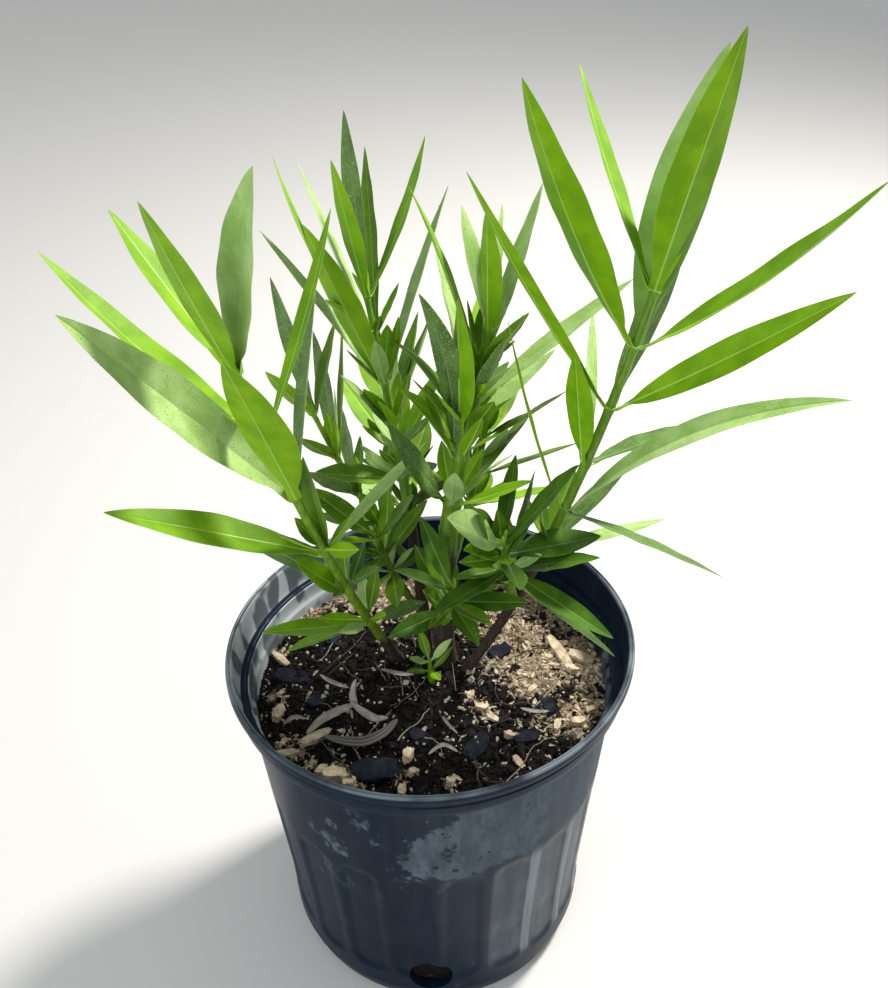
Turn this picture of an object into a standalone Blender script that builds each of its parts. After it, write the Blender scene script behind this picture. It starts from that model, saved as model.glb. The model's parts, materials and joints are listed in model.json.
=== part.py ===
"""Potted oleander: four stems from one root, their side limbs and masses of leaves, in a nursery pot.

Metres, +Z up. The origin is the middle of the pot's flat underside.
"""

import math
import random
from collections import namedtuple

import bmesh
import bpy
from mathutils import Vector
from mathutils.bvhtree import BVHTree

MM = 0.001
GAP = 0.3 * MM
UP = Vector((0.0, 0.0, 1.0))

# Pot, a blow-moulded tub of about seven litres.
POT_HEIGHT = 219.5 * MM
POT_FOOT_RADIUS = 90.8 * MM
POT_HEEL_RADIUS = 93.4 * MM
POT_HEEL_HEIGHT = 13.0 * MM
POT_SHOULDER_RADIUS = 106.2 * MM
POT_FLOOR = 2.5 * MM
POT_FLOOR_RADIUS = 88.0 * MM
POT_STEPS_ROUND = 63
COLLAR_HEIGHT = 18.0 * MM
COLLAR_UNDERSIDE_RISE = 0.5 * MM
COLLAR_LOW_RADIUS = 111.2 * MM
COLLAR_HIGH_RADIUS = 112.5 * MM
RIM_BEAD_HEIGHT = 6.0 * MM
RIM_RADIUS = 115.0 * MM
RIM_TOP_RADII = (114.0 * MM, 112.0 * MM)
BEAD_ROUND = 1.2 * MM
LEDGE_RISE = 1.2 * MM
HIGH_LEDGE = 200.5 * MM
HIGH_LEDGE_RADII = (104.0 * MM, 109.0 * MM)
LOW_LEDGE = 190.0 * MM
LOW_LEDGE_RADII = (101.8 * MM, 103.4 * MM)
RIM_OVAL = 0.02
RIM_OVAL_TURN = math.radians(35)
FLUTE_COUNT = 21
FLUTE_DEPTH = 1.3 * MM
FLUTE_TURN = math.radians(-66.4)
FLUTE_LOW = 29.0 * MM
FLUTE_HIGH = 126.0 * MM
FLUTE_RUN_OUT = 6.0 * MM
FLUTE_STEPS = (0, 1)
DRAIN_COUNT = 4
DRAIN_RADIUS = 13.0 * MM
DRAIN_CENTRE = 28.0 * MM
DRAIN_TURN = math.radians(-92)
DRAIN_SIDES = 14
DRAIN_REACH = 6.0 * MM

# Potting bark, highest round the stems
SOIL_TOP = 189.0 * MM
SOIL_EDGE = 181.0 * MM
SOIL_FLAT_RADIUS = 36.0 * MM
SOIL_RELIEF = 2.5 * MM
SOIL_RINGS = (0.8, 0.4, 0.0)

# Limbs
LIMB_SIDES = 8
LIMB_STEPS = 12
LIMB_TAPER_POWER = 1.6
LIMB_SHORTEST_STEPS = 3
FORK_REACH = 0.12
FLARE = 0.18
FLARE_HEIGHT = 14.0 * MM

# Leaves
LEAF_STATIONS = (0.0, 0.14, 0.32, 0.52, 0.72, 0.88, 1.0)
LEAF_THICKNESS = 0.011
LEAF_BREADTH = 0.29
LEAF_BEND = -8
LEAF_SAG = 0.04
LEAF_FOOT_WIDTH = 0.16
LEAF_TIP_WIDTH = 0.07
LEAF_BELLY = 0.9
LEAF_FULLNESS = 0.8
LEAF_CLEARANCE = 0.6 * MM
LEAVES_PER_WHORL = 3
LEAF_FOOT = 0.06
LEAF_ROLL_RISE = 3
NUDGES = (0, 5, -5, 10, -10, 16, -16)
WIDE_NUDGES = (0, 8, -8, 18, -18, 30, -30, 46, -46)
SHORTER = (1.0, 0.82, 0.66)
TURN_SPREAD = 8
OPENING_SPREAD = 5
LENGTH_SPREAD = (0.88, 1.05)

# A limb or mass follows one bent line: base or fork, bend and tip, in millimetres.
# base is a place on the soil, fork how far up the parent's line the limb leaves it,
# thick the radii in millimetres at the two ends, and leafy where the leaves begin along it.
# Each whorl has its place along the line and then its leaves: turn about the stem, opening
# from it, length and width in millimetres, roll of the blade, and the bend along it in degrees,
# where a minus bends the leaf towards the stem. A whorl with fewer than three leaves is filled
# up by the seeded rule in whorl_leaves, with openings and lengths that run from the shoot's
# second value low down to its first value at the top.
Shoot = namedtuple("Shoot", "base fork parent bend tip thick leafy opening length whorls")

SHOOTS = {
    "tall_right": Shoot(
        base=(20, 3), fork=None, parent=None, bend=(68, -24, 300), tip=(106, 4, 430),
        thick=(2.8, 2.2), leafy=0.39, opening=(35, 65), length=(110, 70),
        whorls=(
            (1.00, (255, 25, 125, 25, 40, -20), (130, 45, 120, 20, 15, -10), (85, 15, 100, 19, -75, 0)),
            (0.90, (210, 45, 145, 25, 10, -15), (320, 35, 130, 26, 30, -25), (85, 20, 145, 31, -35, 0)),
            (0.78, (310, 40, 130, 16, 75, -5), (210, 50, 155, 16, 5, -10), (70, 50, 95, 18, -50, 0)),
            (0.66, (210, 30, 70, 16, 20, 0), (30, 70, 70, 17, -20, 0), (95, 55, 90, 14, 40, 0)),
            (0.55, (325, 35, 155, 18, 30, 35), (195, 35, 120, 11, -5, -10), (320, 75, 85, 12, -5, 0)),
            (0.44, (25, 75, 75, 14, -25, -8), (50, 55, 70, 14, -35, -8), (75, 60, 50, 12, -30, -8)),
        ),
    ),
    "front_left": Shoot(
        base=(-19, 13), fork=None, parent=None, bend=(-48, -48, 300), tip=(-72, -82, 438),
        thick=(2.6, 1.7), leafy=0.20, opening=(30, 75), length=(100, 50),
        whorls=(
            (1.00, (275, 10, 95, 19, -35, -10), (0, 20, 95, 21, 45, 10), (130, 50, 80, 22, 45, -20)),
            (0.87, (140, 65, 135, 23, 45, -55), (65, 60, 100, 11, -30, -15), (310, 10, 40, 11, 50, 0)),
            (0.72, (170, 25, 130, 24, -5, 0), (295, 5, 100, 24, -40, 0), (80, 65, 120, 20, -50, 0)),
            (0.55, (190, 45, 105, 20, 5, 0), (50, 10, 65, 17, -5, 0), (50, 90, 75, 12, -30, 0)),
            (0.40, (190, 15, 45, 14, -10, -8), (150, 70, 85, 18, 35, 0), (100, 95, 30, 13, -35, -8)),
            (0.25, (200, 50, 60, 15, 25, -8), (20, 100, 30, 12, -20, -8), (190, 100, 50, 14, 35, -8)),
        ),
    ),
    "back_left": Shoot(
        base=(-3, 22), fork=None, parent=None, bend=(-5, -12, 300), tip=(-29, 45, 409),
        thick=(3.5, 1.5), leafy=0.55, opening=(30, 70), length=(95, 50),
        whorls=(
            (1.00, (75, 15, 100, 14, -30, 5), (270, 35, 75, 14, -45, -10), (35, 35, 95, 16, -5, -15)),
            (0.91, (75, 25, 110, 15, -35, 0), (135, 25, 115, 13, 35, -40), (115, 30, 115, 15, 50, -8)),
            (0.82, (50, 40, 120, 19, -25, 0), (145, 35, 105, 18, 25, -5), (235, 20, 90, 18, 10, 0)),
            (0.72, (240, 40, 50, 12, -55, -8), (80, 45, 60, 13, -50, 0), (265, 45, 30, 11, -35, -8)),
            (0.60, (215, 65, 50, 16, -25, -8), (130, 80, 30, 13, 10, -8), (50, 100, 25, 13, 15, -8)),
        ),
    ),
    "centre": Shoot(
        base=(8, 10), fork=None, parent=None, bend=(2, -14, 300), tip=(31, 5, 410),
        thick=(6.4, 2.4), leafy=0.53, opening=(30, 65), length=(80, 60),
        whorls=(
            (1.00, (240, 30, 70, 17, -25, 0), (120, 45, 65, 16, 25, 0), (95, 45, 70, 17, 65, -10)),
            (0.92, (290, 35, 50, 14, 20, 0), (75, 30, 95, 17, -55, -20), (145, 40, 90, 13, 20, 10)),
            (0.84, (30, 50, 100, 16, -15, 0), (115, 50, 90, 17, 35, 5), (290, 20, 45, 15, 35, 0)),
            (0.77, (220, 15, 75, 22, -10, 0), (130, 65, 65, 16, 20, 40), (50, 65, 70, 16, -30, 0)),
            (0.70, (200, 20, 95, 16, 35, 30), (330, 35, 65, 16, 30, 5), (195, 40, 50, 16, -10, 30)),
            (0.58, (195, 35, 60, 16, -35, -8), (335, 50, 45, 14, 5, -8), (60, 70, 75, 17, -40, -8)),
        ),
    ),
    "inner_left": Shoot(
        base=None, fork=0.33, parent="back_left", bend=(-32, 14, 290), tip=(-59, 30, 350),
        thick=(2.1, 1.3), leafy=0.30, opening=(35, 70), length=(60, 45),
        whorls=(
            (1.00, (250, 30, 40, 12, -10, -8), (85, 30, 80, 15, -35, -8), (60, 55, 60, 14, -15, -8)),
            (0.80, (80, 45, 80, 14, -30, -8), (60, 45, 80, 14, -30, -8), (250, 40, 30, 11, -5, -8)),
            (0.60, (305, 40, 25, 11, 25, -8), (240, 35, 35, 12, 10, -8), (85, 55, 65, 14, -35, -8)),
            (0.38, (150, 60, 40, 11, 0, -8), (60, 65, 65, 13, -5, -8), (245, 45, 35, 10, 5, -8)),
        ),
    ),
    "front_right": Shoot(
        base=None, fork=0.28, parent="tall_right", bend=(40, -24, 285), tip=(37, -36, 316),
        thick=(2.4, 1.6), leafy=0.36, opening=(50, 80), length=(55, 50),
        whorls=(
            (0.97, (80, 85, 50, 16, -55, -8), (185, 35, 40, 21, 0, -8), (20, 40, 60, 20, -35, -8)),
            (0.80,
             (15, 100, 50, 20, -15, -8), (195, 45, 25, 14, 15, -8),
             (285, 60, 30, 14, -40, -8), (140, 20, 35, 15, 30, -8)),
            (0.60, (225, 60, 55, 15, 25, -8), (315, 75, 70, 13, -20, -8), (350, 65, 50, 16, -30, -8)),
            (0.42, (315, 80, 70, 13, -55, -8), (200, 35, 30, 10, 25, -8), (75, 90, 65, 12, -55, -8)),
        ),
    ),
    "back_right": Shoot(
        base=None, fork=0.30, parent="centre", bend=(24, 30, 290), tip=(34, 50, 345),
        thick=(2.5, 1.5), leafy=0.35, opening=(30, 75), length=(62, 55),
        whorls=((1.00,), (0.82,), (0.64,), (0.48,)),
    ),
    "back": Shoot(
        base=None, fork=0.25, parent="back_left", bend=(-12, 38, 280), tip=(-20, 58, 330),
        thick=(2.5, 1.5), leafy=0.38, opening=(30, 75), length=(62, 55),
        whorls=((1.00,), (0.82,), (0.64,), (0.50,)),
    ),
    "front_middle": Shoot(
        base=None, fork=0.17, parent="centre", bend=(10, -32, 262), tip=(12, -35, 286),
        thick=(2.2, 1.5), leafy=0.42, opening=(50, 80), length=(42, 38),
        whorls=((1.00,), (0.78,), (0.58,)),
    ),
    "low_left": Shoot(
        base=None, fork=0.15, parent="back_left", bend=(-22, 4, 262), tip=(-27, -6, 297),
        thick=(2.2, 1.4), leafy=0.42, opening=(35, 75), length=(48, 40),
        whorls=((1.00,), (0.78,), (0.58,)),
    ),
    "foot": Shoot(
        base=(0, -6), fork=None, parent=None, bend=(-1, -8, 202), tip=(-1, -11, 211),
        thick=(1.5, 1.1), leafy=0.0, opening=(40, 60), length=(20, 16),
        whorls=((1.00,), (0.50,)),
    ),
}

# Each finish: colour, roughness and the angle in degrees past which an edge stays sharp.
Look = namedtuple("Look", "colour roughness sharp")
LEAF_GREEN = Look((0.21, 0.40, 0.05), 0.4, 35)
STEM_GREEN = Look((0.30, 0.42, 0.10), 0.6, 50)
BARK_BROWN = Look((0.16, 0.11, 0.07), 0.8, 50)
POT_NAVY = Look((0.035, 0.06, 0.09), 0.45, 30)
SOIL_BROWN = Look((0.06, 0.045, 0.035), 0.95, 60)


def clear_scene():
    for obj in list(bpy.data.objects):
        bpy.data.objects.remove(obj, do_unlink=True)


def finish(obj, look):
    """Gives an object its own material, and smooth shading up to the look's angle."""
    made = bpy.data.materials.new(obj.name)
    made.use_nodes = True
    shader = made.node_tree.nodes["Principled BSDF"]
    shader.inputs["Base Color"].default_value = (*look.colour, 1.0)
    shader.inputs["Roughness"].default_value = look.roughness
    shader.inputs["Metallic"].default_value = 0.0
    obj.data.materials.clear()
    obj.data.materials.append(made)
    obj.data.shade_smooth()
    obj.data.set_sharp_from_angle(angle=math.radians(look.sharp))


def loft(name, rings):
    """A closed object whose skin runs from ring to ring, with both ends capped."""
    made = bmesh.new()
    rows = [[made.verts.new(point) for point in ring] for ring in rings]
    count = len(rows[0])
    for low, high in zip(rows, rows[1:]):
        for step in range(count):
            after = (step + 1) % count
            made.faces.new((low[step], low[after], high[after], high[step]))
    made.faces.new(reversed(rows[0]))
    made.faces.new(rows[-1])
    bmesh.ops.triangulate(made, faces=made.faces)
    bmesh.ops.recalc_face_normals(made, faces=made.faces)
    mesh = bpy.data.meshes.new(name)
    made.to_mesh(mesh)
    made.free()
    obj = bpy.data.objects.new(name, mesh)
    bpy.context.scene.collection.objects.link(obj)
    return obj


def cut(obj, cutter):
    cutter.hide_render = True
    cutter.display_type = "WIRE"
    modifier = obj.modifiers.new(cutter.name, "BOOLEAN")
    modifier.operation = "DIFFERENCE"
    modifier.object = cutter


# Pot and soil


def between(height, low, high):
    """The radius at a height on the straight line from one (height, radius) to another."""
    share = (height - low[0]) / (high[0] - low[0])
    return low[1] + (high[1] - low[1]) * share


def wall_radius(height):
    """The pot's outer radius from its heel up to the underside of its collar."""
    return between(
        height, (POT_HEEL_HEIGHT, POT_HEEL_RADIUS), (POT_HEIGHT - COLLAR_HEIGHT, POT_SHOULDER_RADIUS)
    )


def inner_radius(height):
    """The radius inside the pot, from its floor up to the low ledge."""
    return between(height, (POT_FLOOR, POT_FLOOR_RADIUS), (LOW_LEDGE, LOW_LEDGE_RADII[0]))


def pot_ring(height, radius, fluted=False):
    """One level of the pot: round at the foot and slightly oval at the rim."""
    oval = RIM_OVAL * height / POT_HEIGHT
    steps_per_flute = POT_STEPS_ROUND // FLUTE_COUNT
    ring = []
    for step in range(POT_STEPS_ROUND):
        turn = FLUTE_TURN + math.tau * step / POT_STEPS_ROUND
        reach = radius * (1 + oval * math.cos(2 * (turn - RIM_OVAL_TURN)))
        if fluted and step % steps_per_flute in FLUTE_STEPS:
            reach -= FLUTE_DEPTH
        ring.append(Vector((reach * math.cos(turn), reach * math.sin(turn), height)))
    return ring


def build_pot():
    bead_low = POT_HEIGHT - RIM_BEAD_HEIGHT
    collar_low = POT_HEIGHT - COLLAR_HEIGHT
    flutes_end = FLUTE_HIGH + FLUTE_RUN_OUT
    outside = [
        pot_ring(0.0, POT_FOOT_RADIUS),
        pot_ring(POT_HEEL_HEIGHT, POT_HEEL_RADIUS),
        pot_ring(FLUTE_LOW, wall_radius(FLUTE_LOW), fluted=True),
        pot_ring(FLUTE_HIGH, wall_radius(FLUTE_HIGH), fluted=True),
        pot_ring(flutes_end, wall_radius(flutes_end)),
        pot_ring(collar_low, POT_SHOULDER_RADIUS),
        pot_ring(collar_low + COLLAR_UNDERSIDE_RISE, COLLAR_LOW_RADIUS),
        pot_ring(bead_low, COLLAR_HIGH_RADIUS),
        pot_ring(bead_low + BEAD_ROUND, RIM_RADIUS),
        pot_ring(POT_HEIGHT - BEAD_ROUND, RIM_RADIUS),
        pot_ring(POT_HEIGHT, RIM_TOP_RADII[0]),
    ]
    inside = [
        pot_ring(POT_HEIGHT, RIM_TOP_RADII[1]),
        pot_ring(HIGH_LEDGE + LEDGE_RISE, HIGH_LEDGE_RADII[1]),
        pot_ring(HIGH_LEDGE, HIGH_LEDGE_RADII[0]),
        pot_ring(LOW_LEDGE + LEDGE_RISE, LOW_LEDGE_RADII[1]),
        pot_ring(LOW_LEDGE, LOW_LEDGE_RADII[0]),
        pot_ring(POT_FLOOR, POT_FLOOR_RADIUS),
    ]
    pot = loft("pot", outside + inside)
    for index in range(DRAIN_COUNT):
        cut(pot, drain_cutter(index))
    finish(pot, POT_NAVY)


def drain_cutter(index):
    """A level cylinder that opens one drain hole through the wall."""
    turn = DRAIN_TURN + math.tau * index / DRAIN_COUNT
    outward = Vector((math.cos(turn), math.sin(turn), 0.0))
    side = UP.cross(outward)
    rings = []
    for radius in (inner_radius(DRAIN_CENTRE) - DRAIN_REACH, wall_radius(DRAIN_CENTRE) + DRAIN_REACH):
        centre = outward * radius + UP * DRAIN_CENTRE
        rings.append([
            centre + (side * math.cos(angle) + UP * math.sin(angle)) * DRAIN_RADIUS
            for angle in (math.tau * step / DRAIN_SIDES for step in range(DRAIN_SIDES))
        ])
    return loft(f"drain_cutter_{index + 1}", rings)


def soil_ring(share, rng):
    """A ring of the soil's top, share of the way out from the flat middle to the wall."""
    ring = []
    for wall in pot_ring(SOIL_EDGE, inner_radius(SOIL_EDGE) - GAP):
        outward = Vector((wall.x, wall.y, 0.0)).normalized()
        middle = outward * SOIL_FLAT_RADIUS + UP * SOIL_TOP
        relief = rng.uniform(-SOIL_RELIEF, SOIL_RELIEF) if share else 0.0
        ring.append(middle.lerp(wall, share) + UP * relief)
    return ring


def build_soil():
    rng = random.Random("soil")
    rings = [pot_ring(height, inner_radius(height) - GAP) for height in (POT_FLOOR + GAP, SOIL_EDGE)]
    rings += [soil_ring(share, rng) for share in SOIL_RINGS]
    soil = loft("soil", rings)
    finish(soil, SOIL_BROWN)


# Limbs


def shoot_line(name):
    """The three points of a shoot's bent line, in metres."""
    shoot = SHOOTS[name]
    if shoot.parent:
        start = line_point(shoot_line(shoot.parent), shoot.fork)
    else:
        start = Vector((shoot.base[0] * MM, shoot.base[1] * MM, SOIL_TOP + GAP))
    return start, Vector(shoot.bend) * MM, Vector(shoot.tip) * MM


def line_point(line, along):
    start, bend, tip = line
    rest = 1 - along
    return start * rest * rest + bend * (2 * rest * along) + tip * (along * along)


def line_direction(line, along):
    start, bend, tip = line
    return ((bend - start) * (1 - along) + (tip - bend) * along).normalized()


def line_length(line):
    stops = [line_point(line, step / LIMB_STEPS) for step in range(LIMB_STEPS + 1)]
    return sum((after - before).length for before, after in zip(stops, stops[1:]))


def limb_radius(name, along):
    low, high = SHOOTS[name].thick
    return MM * (low + (high - low) * along ** LIMB_TAPER_POWER)


def limb_rings(name, first, last, extra=0.0):
    """Rings round a limb from one place on its line to another."""
    line = shoot_line(name)
    rooted = SHOOTS[name].parent is None and first == 0.0
    steps = max(LIMB_SHORTEST_STEPS, round(LIMB_STEPS * (last - first)))
    rings = []
    for step in range(steps + 1):
        along = first + (last - first) * step / steps
        centre = line_point(line, along)
        direction = line_direction(line, along)
        radius = limb_radius(name, along) + extra
        if rooted:
            height = centre.z - line[0].z
            radius *= 1 + FLARE * max(0.0, 1 - height / FLARE_HEIGHT)
            if step == 0:
                direction = UP
        side = direction.cross(Vector((0.0, 1.0, 0.0))).normalized()
        front = direction.cross(side)
        rings.append([
            centre + (side * math.cos(angle) + front * math.sin(angle)) * radius
            for angle in (math.tau * turn / LIMB_SIDES for turn in range(LIMB_SIDES))
        ])
    return rings


def build_limb(name):
    """The bare part of a shoot: a stem from the soil, or a bough cut clear of its parent stem."""
    shoot = SHOOTS[name]
    rings = limb_rings(name, 0.0, shoot.leafy)
    if not shoot.parent:
        finish(loft(f"stem_{name}", rings), BARK_BROWN)
        return
    bough = loft(f"bough_{name}", rings)
    parent_rings = limb_rings(shoot.parent, shoot.fork - FORK_REACH, shoot.fork + FORK_REACH, GAP)
    cut(bough, loft(f"fork_cutter_{name}", parent_rings))
    finish(bough, STEM_GREEN)


# Leaves


def leaf_half_width(share):
    """Half the blade's width, as a share of the full width: a narrow foot and a long point."""
    if share <= LEAF_FOOT:
        return 0.5 * LEAF_FOOT_WIDTH
    rise = math.sin(math.pi * ((share - LEAF_FOOT) / (1 - LEAF_FOOT)) ** LEAF_BELLY)
    return 0.5 * max(LEAF_TIP_WIDTH, rise ** LEAF_FULLNESS)


def leaf_rings(line, along, radius, leaf, extra=0.0):
    """Four-cornered rings along one blade, from the stem's middle to the leaf's tip."""
    turn, opening, length, width, roll, bend = leaf
    turn, opening, roll, bend = (math.radians(value) for value in (turn, opening, roll, bend))
    length *= MM
    stem_point = line_point(line, along)
    stem = line_direction(line, along)
    level = Vector((1.0, 0.0, 0.0))
    level = (level - stem * level.dot(stem)).normalized()
    outward = level * math.cos(turn) + stem.cross(level) * math.sin(turn)
    across = stem.cross(outward)
    half_thick = 0.5 * LEAF_THICKNESS * length + extra

    points = [stem_point, stem_point + outward * radius]
    shares = [0.0, 0.0]
    for before, share in zip(LEAF_STATIONS, LEAF_STATIONS[1:]):
        middle = 0.5 * (before + share)
        angle = opening + bend * (middle - 0.5)
        step = stem * math.cos(angle) + outward * math.sin(angle)
        step = (step - UP * (LEAF_SAG * middle ** 1.5)).normalized()
        points.append(points[-1] + step * length * (share - before))
        shares.append(share)

    rings = []
    for index, (point, share) in enumerate(zip(points, shares)):
        ahead = points[min(index + 1, len(points) - 1)]
        behind = points[max(index - 1, 0)]
        forward = (ahead - behind).normalized()
        side = (across - forward * across.dot(forward)).normalized()
        normal = forward.cross(side)
        lean = roll * min(1.0, LEAF_ROLL_RISE * share)
        edge = side * math.cos(lean) + normal * math.sin(lean)
        face = normal * math.cos(lean) - side * math.sin(lean)
        half = leaf_half_width(share) * width * MM + extra
        rings.append([
            point + edge * half + face * half_thick,
            point - edge * half + face * half_thick,
            point - edge * half - face * half_thick,
            point + edge * half - face * half_thick,
        ])
    return rings


def whorl_leaves(shoot, whorl, rng):
    """The three leaves of a whorl: those set by hand, then others in the widest spaces left."""
    along, *leaves = whorl
    by_hand = len(leaves)
    top = (along - shoot.leafy) / (1.0 - shoot.leafy)
    first = rng.uniform(0, 360)
    while len(leaves) < LEAVES_PER_WHORL:
        turns = sorted(leaf[0] for leaf in leaves)
        if turns:
            after = turns[1:] + [turns[0] + 360]
            space, turn = max((high - low, low) for low, high in zip(turns, after))
            turn += 0.5 * space + rng.uniform(-TURN_SPREAD, TURN_SPREAD)
        else:
            turn = first
        opening = shoot.opening[1] + (shoot.opening[0] - shoot.opening[1]) * top
        length = shoot.length[1] + (shoot.length[0] - shoot.length[1]) * top
        opening += rng.uniform(-OPENING_SPREAD, OPENING_SPREAD)
        length *= rng.uniform(*LENGTH_SPREAD)
        leaves.append((turn % 360, opening, length, LEAF_BREADTH * length, 0, LEAF_BEND))
    return [(leaf, index < by_hand) for index, leaf in enumerate(leaves)]


def tree_of(obj):
    return BVHTree.FromPolygons(
        [vertex.co for vertex in obj.data.vertices],
        [polygon.vertices for polygon in obj.data.polygons],
    )


def tree_of_rings(rings):
    """What loft would make of these rings, as a tree for overlap tests only."""
    shape = loft("shape", rings)
    tree = tree_of(shape)
    bpy.data.objects.remove(shape, do_unlink=True)
    return tree


def leaf_in_own_space(name, line, along, leaf, by_hand, others):
    """The leaf, turned a little where its blade would come too near another piece, or None."""
    radius = limb_radius(name, along)
    turn, opening, length, width, roll, bend = leaf
    if by_hand:
        tries = [(turn + nudge, opening, length, width, roll, bend) for nudge in NUDGES]
    else:
        tries = [
            (turn + nudge, opening, length * share, width * share, roll, bend)
            for share in SHORTER
            for nudge in WIDE_NUDGES
        ]
    for tried in tries:
        blade = tree_of_rings(leaf_rings(line, along, radius, tried, LEAF_CLEARANCE)[1:])
        if not any(blade.overlap(other) for other in others):
            return tried
    return None


def build_mass(name, others):
    """One shoot's leafy end: its stem with every leaf fused on."""
    shoot = SHOOTS[name]
    line = shoot_line(name)
    rng = random.Random(name)
    first = shoot.leafy + GAP / line_length(line) if shoot.leafy else 0.0
    mass = loft(f"mass_{name}", limb_rings(name, first, 1.0))
    sprays = bpy.data.collections.new(f"leaves_{name}")
    bpy.context.scene.collection.children.link(sprays)
    for whorl in shoot.whorls:
        along = whorl[0]
        for leaf, by_hand in whorl_leaves(shoot, whorl, rng):
            placed = leaf_in_own_space(name, line, along, leaf, by_hand, others)
            if placed is None:
                continue
            rings = leaf_rings(line, along, limb_radius(name, along), placed)
            blade = loft(f"leaf_{name}", rings)
            bpy.context.scene.collection.objects.unlink(blade)
            sprays.objects.link(blade)
    fuse(mass, sprays)
    finish(mass, LEAF_GREEN)
    return mass


def fuse(obj, sprays):
    """Joins a collection's objects to obj by one union, and removes them."""
    modifier = obj.modifiers.new("fuse", "BOOLEAN")
    modifier.operation = "UNION"
    modifier.operand_type = "COLLECTION"
    modifier.collection = sprays
    modifier.solver = "EXACT"
    graph = bpy.context.evaluated_depsgraph_get()
    graph.update()
    joined = bpy.data.meshes.new_from_object(obj.evaluated_get(graph))
    obj.modifiers.clear()
    obj.data = joined
    for leaf in list(sprays.objects):
        bpy.data.objects.remove(leaf, do_unlink=True)
    bpy.data.collections.remove(sprays)


def build_plant():
    for name, shoot in SHOOTS.items():
        if shoot.leafy:
            build_limb(name)
    whole_lines = {name: tree_of_rings(limb_rings(name, 0.0, 1.0)) for name in SHOOTS}
    masses = []
    for name, shoot in SHOOTS.items():
        others = [tree for other, tree in whole_lines.items() if other != name]
        if shoot.leafy:
            others.append(tree_of_rings(limb_rings(name, 0.0, shoot.leafy)))
        others += [tree_of(mass) for mass in masses]
        masses.append(build_mass(name, others))


def main():
    clear_scene()
    build_pot()
    build_soil()
    build_plant()


main()
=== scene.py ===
import json
import math
import random

import bmesh
import bpy
from mathutils import Matrix, Vector, noise
from mathutils.bvhtree import BVHTree

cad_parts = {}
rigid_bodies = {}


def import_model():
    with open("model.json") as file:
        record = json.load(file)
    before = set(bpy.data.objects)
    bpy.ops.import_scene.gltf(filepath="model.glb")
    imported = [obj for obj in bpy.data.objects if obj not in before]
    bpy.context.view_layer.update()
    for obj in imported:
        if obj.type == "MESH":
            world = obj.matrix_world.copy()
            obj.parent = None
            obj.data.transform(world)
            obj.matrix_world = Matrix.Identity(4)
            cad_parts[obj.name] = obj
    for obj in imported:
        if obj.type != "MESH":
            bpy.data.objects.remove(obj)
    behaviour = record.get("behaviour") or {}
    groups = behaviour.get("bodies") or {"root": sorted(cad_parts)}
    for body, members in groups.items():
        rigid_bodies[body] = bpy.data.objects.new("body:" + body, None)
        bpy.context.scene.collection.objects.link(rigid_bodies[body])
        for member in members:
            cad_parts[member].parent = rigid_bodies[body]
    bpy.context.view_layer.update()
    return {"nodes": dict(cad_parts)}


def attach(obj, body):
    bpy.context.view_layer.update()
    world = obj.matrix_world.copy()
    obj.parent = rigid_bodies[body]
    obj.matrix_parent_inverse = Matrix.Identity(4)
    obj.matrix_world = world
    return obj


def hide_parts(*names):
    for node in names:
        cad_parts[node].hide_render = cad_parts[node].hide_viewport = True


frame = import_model()
mm = 0.001
up = Vector((0.0, 0.0, 1.0))
fullTurn = math.tau


# Small helpers for meshes


def addToScene(name, data):
    made = bpy.data.objects.new(name, data)
    bpy.context.scene.collection.objects.link(made)
    return made


def meshObject(name, points, faces, edges=()):
    mesh = bpy.data.meshes.new(name)
    mesh.from_pydata([tuple(point) for point in points], list(edges), faces)
    return addToScene(name, mesh)


def meshFrom(name, shape):
    mesh = bpy.data.meshes.new(name)
    shape.to_mesh(mesh)
    shape.free()
    return mesh


def setAttribute(made, name, values):
    made.data.attributes.new(name, "FLOAT", "POINT").data.foreach_set("value", values)


def setBladeMap(made, places):
    layer = made.data.uv_layers.new(name="blade")
    for loop in made.data.loops:
        layer.data[loop.index].uv = places[loop.vertex_index]


def within(value):
    return max(0.0, min(1.0, value))


def roundAbout(turn, reach, height=0.0):
    return reach * math.cos(turn), reach * math.sin(turn), height


def closedBand(low, high, sides):
    # The four-cornered faces between two closed rings that start at these points
    steps = [(side, (side + 1) % sides) for side in range(sides)]
    return [(low + side, low + after, high + after, high + side) for side, after in steps]


def fan(middle, first, sides, turned=False):
    # The three-cornered faces from a middle point to a closed ring
    steps = [(first + side, first + (side + 1) % sides) for side in range(sides)]
    return [(middle, after, here) if turned else (middle, here, after) for here, after in steps]


def turnedOver(corners):
    return tuple(reversed(corners))


def mirrored(corners):
    return (corners[0], *reversed(corners[1:]))


# Small helpers for node trees


class Value:
    # A node's output, with plain sums and products
    def __init__(self, socket):
        self.socket = socket
        self.tree = socket.id_data

    def calc(self, operation, *others):
        return output(self.tree, "ShaderNodeMath", (self, *others), operation=operation)

    def __add__(self, other):
        return self.calc("ADD", other)

    def __sub__(self, other):
        return self.calc("SUBTRACT", other)

    def __mul__(self, other):
        return self.calc("MULTIPLY", other)

    def __truediv__(self, other):
        return self.calc("DIVIDE", other)

    def __abs__(self):
        return self.calc("ABSOLUTE")


def setInput(node, key, value):
    if isinstance(value, Value):
        node.id_data.links.new(value.socket, node.inputs[key])
    else:
        node.inputs[key].default_value = value


def addNode(tree, kind, inputs=(), **props):
    node = tree.nodes.new(kind)
    for key, value in props.items():
        setattr(node, key, value)
    for key, value in (inputs if isinstance(inputs, dict) else dict(enumerate(inputs))).items():
        setInput(node, key, value)
    return node


def output(tree, kind, inputs=(), socket=0, **props):
    return Value(addNode(tree, kind, inputs, **props).outputs[socket])


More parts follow.
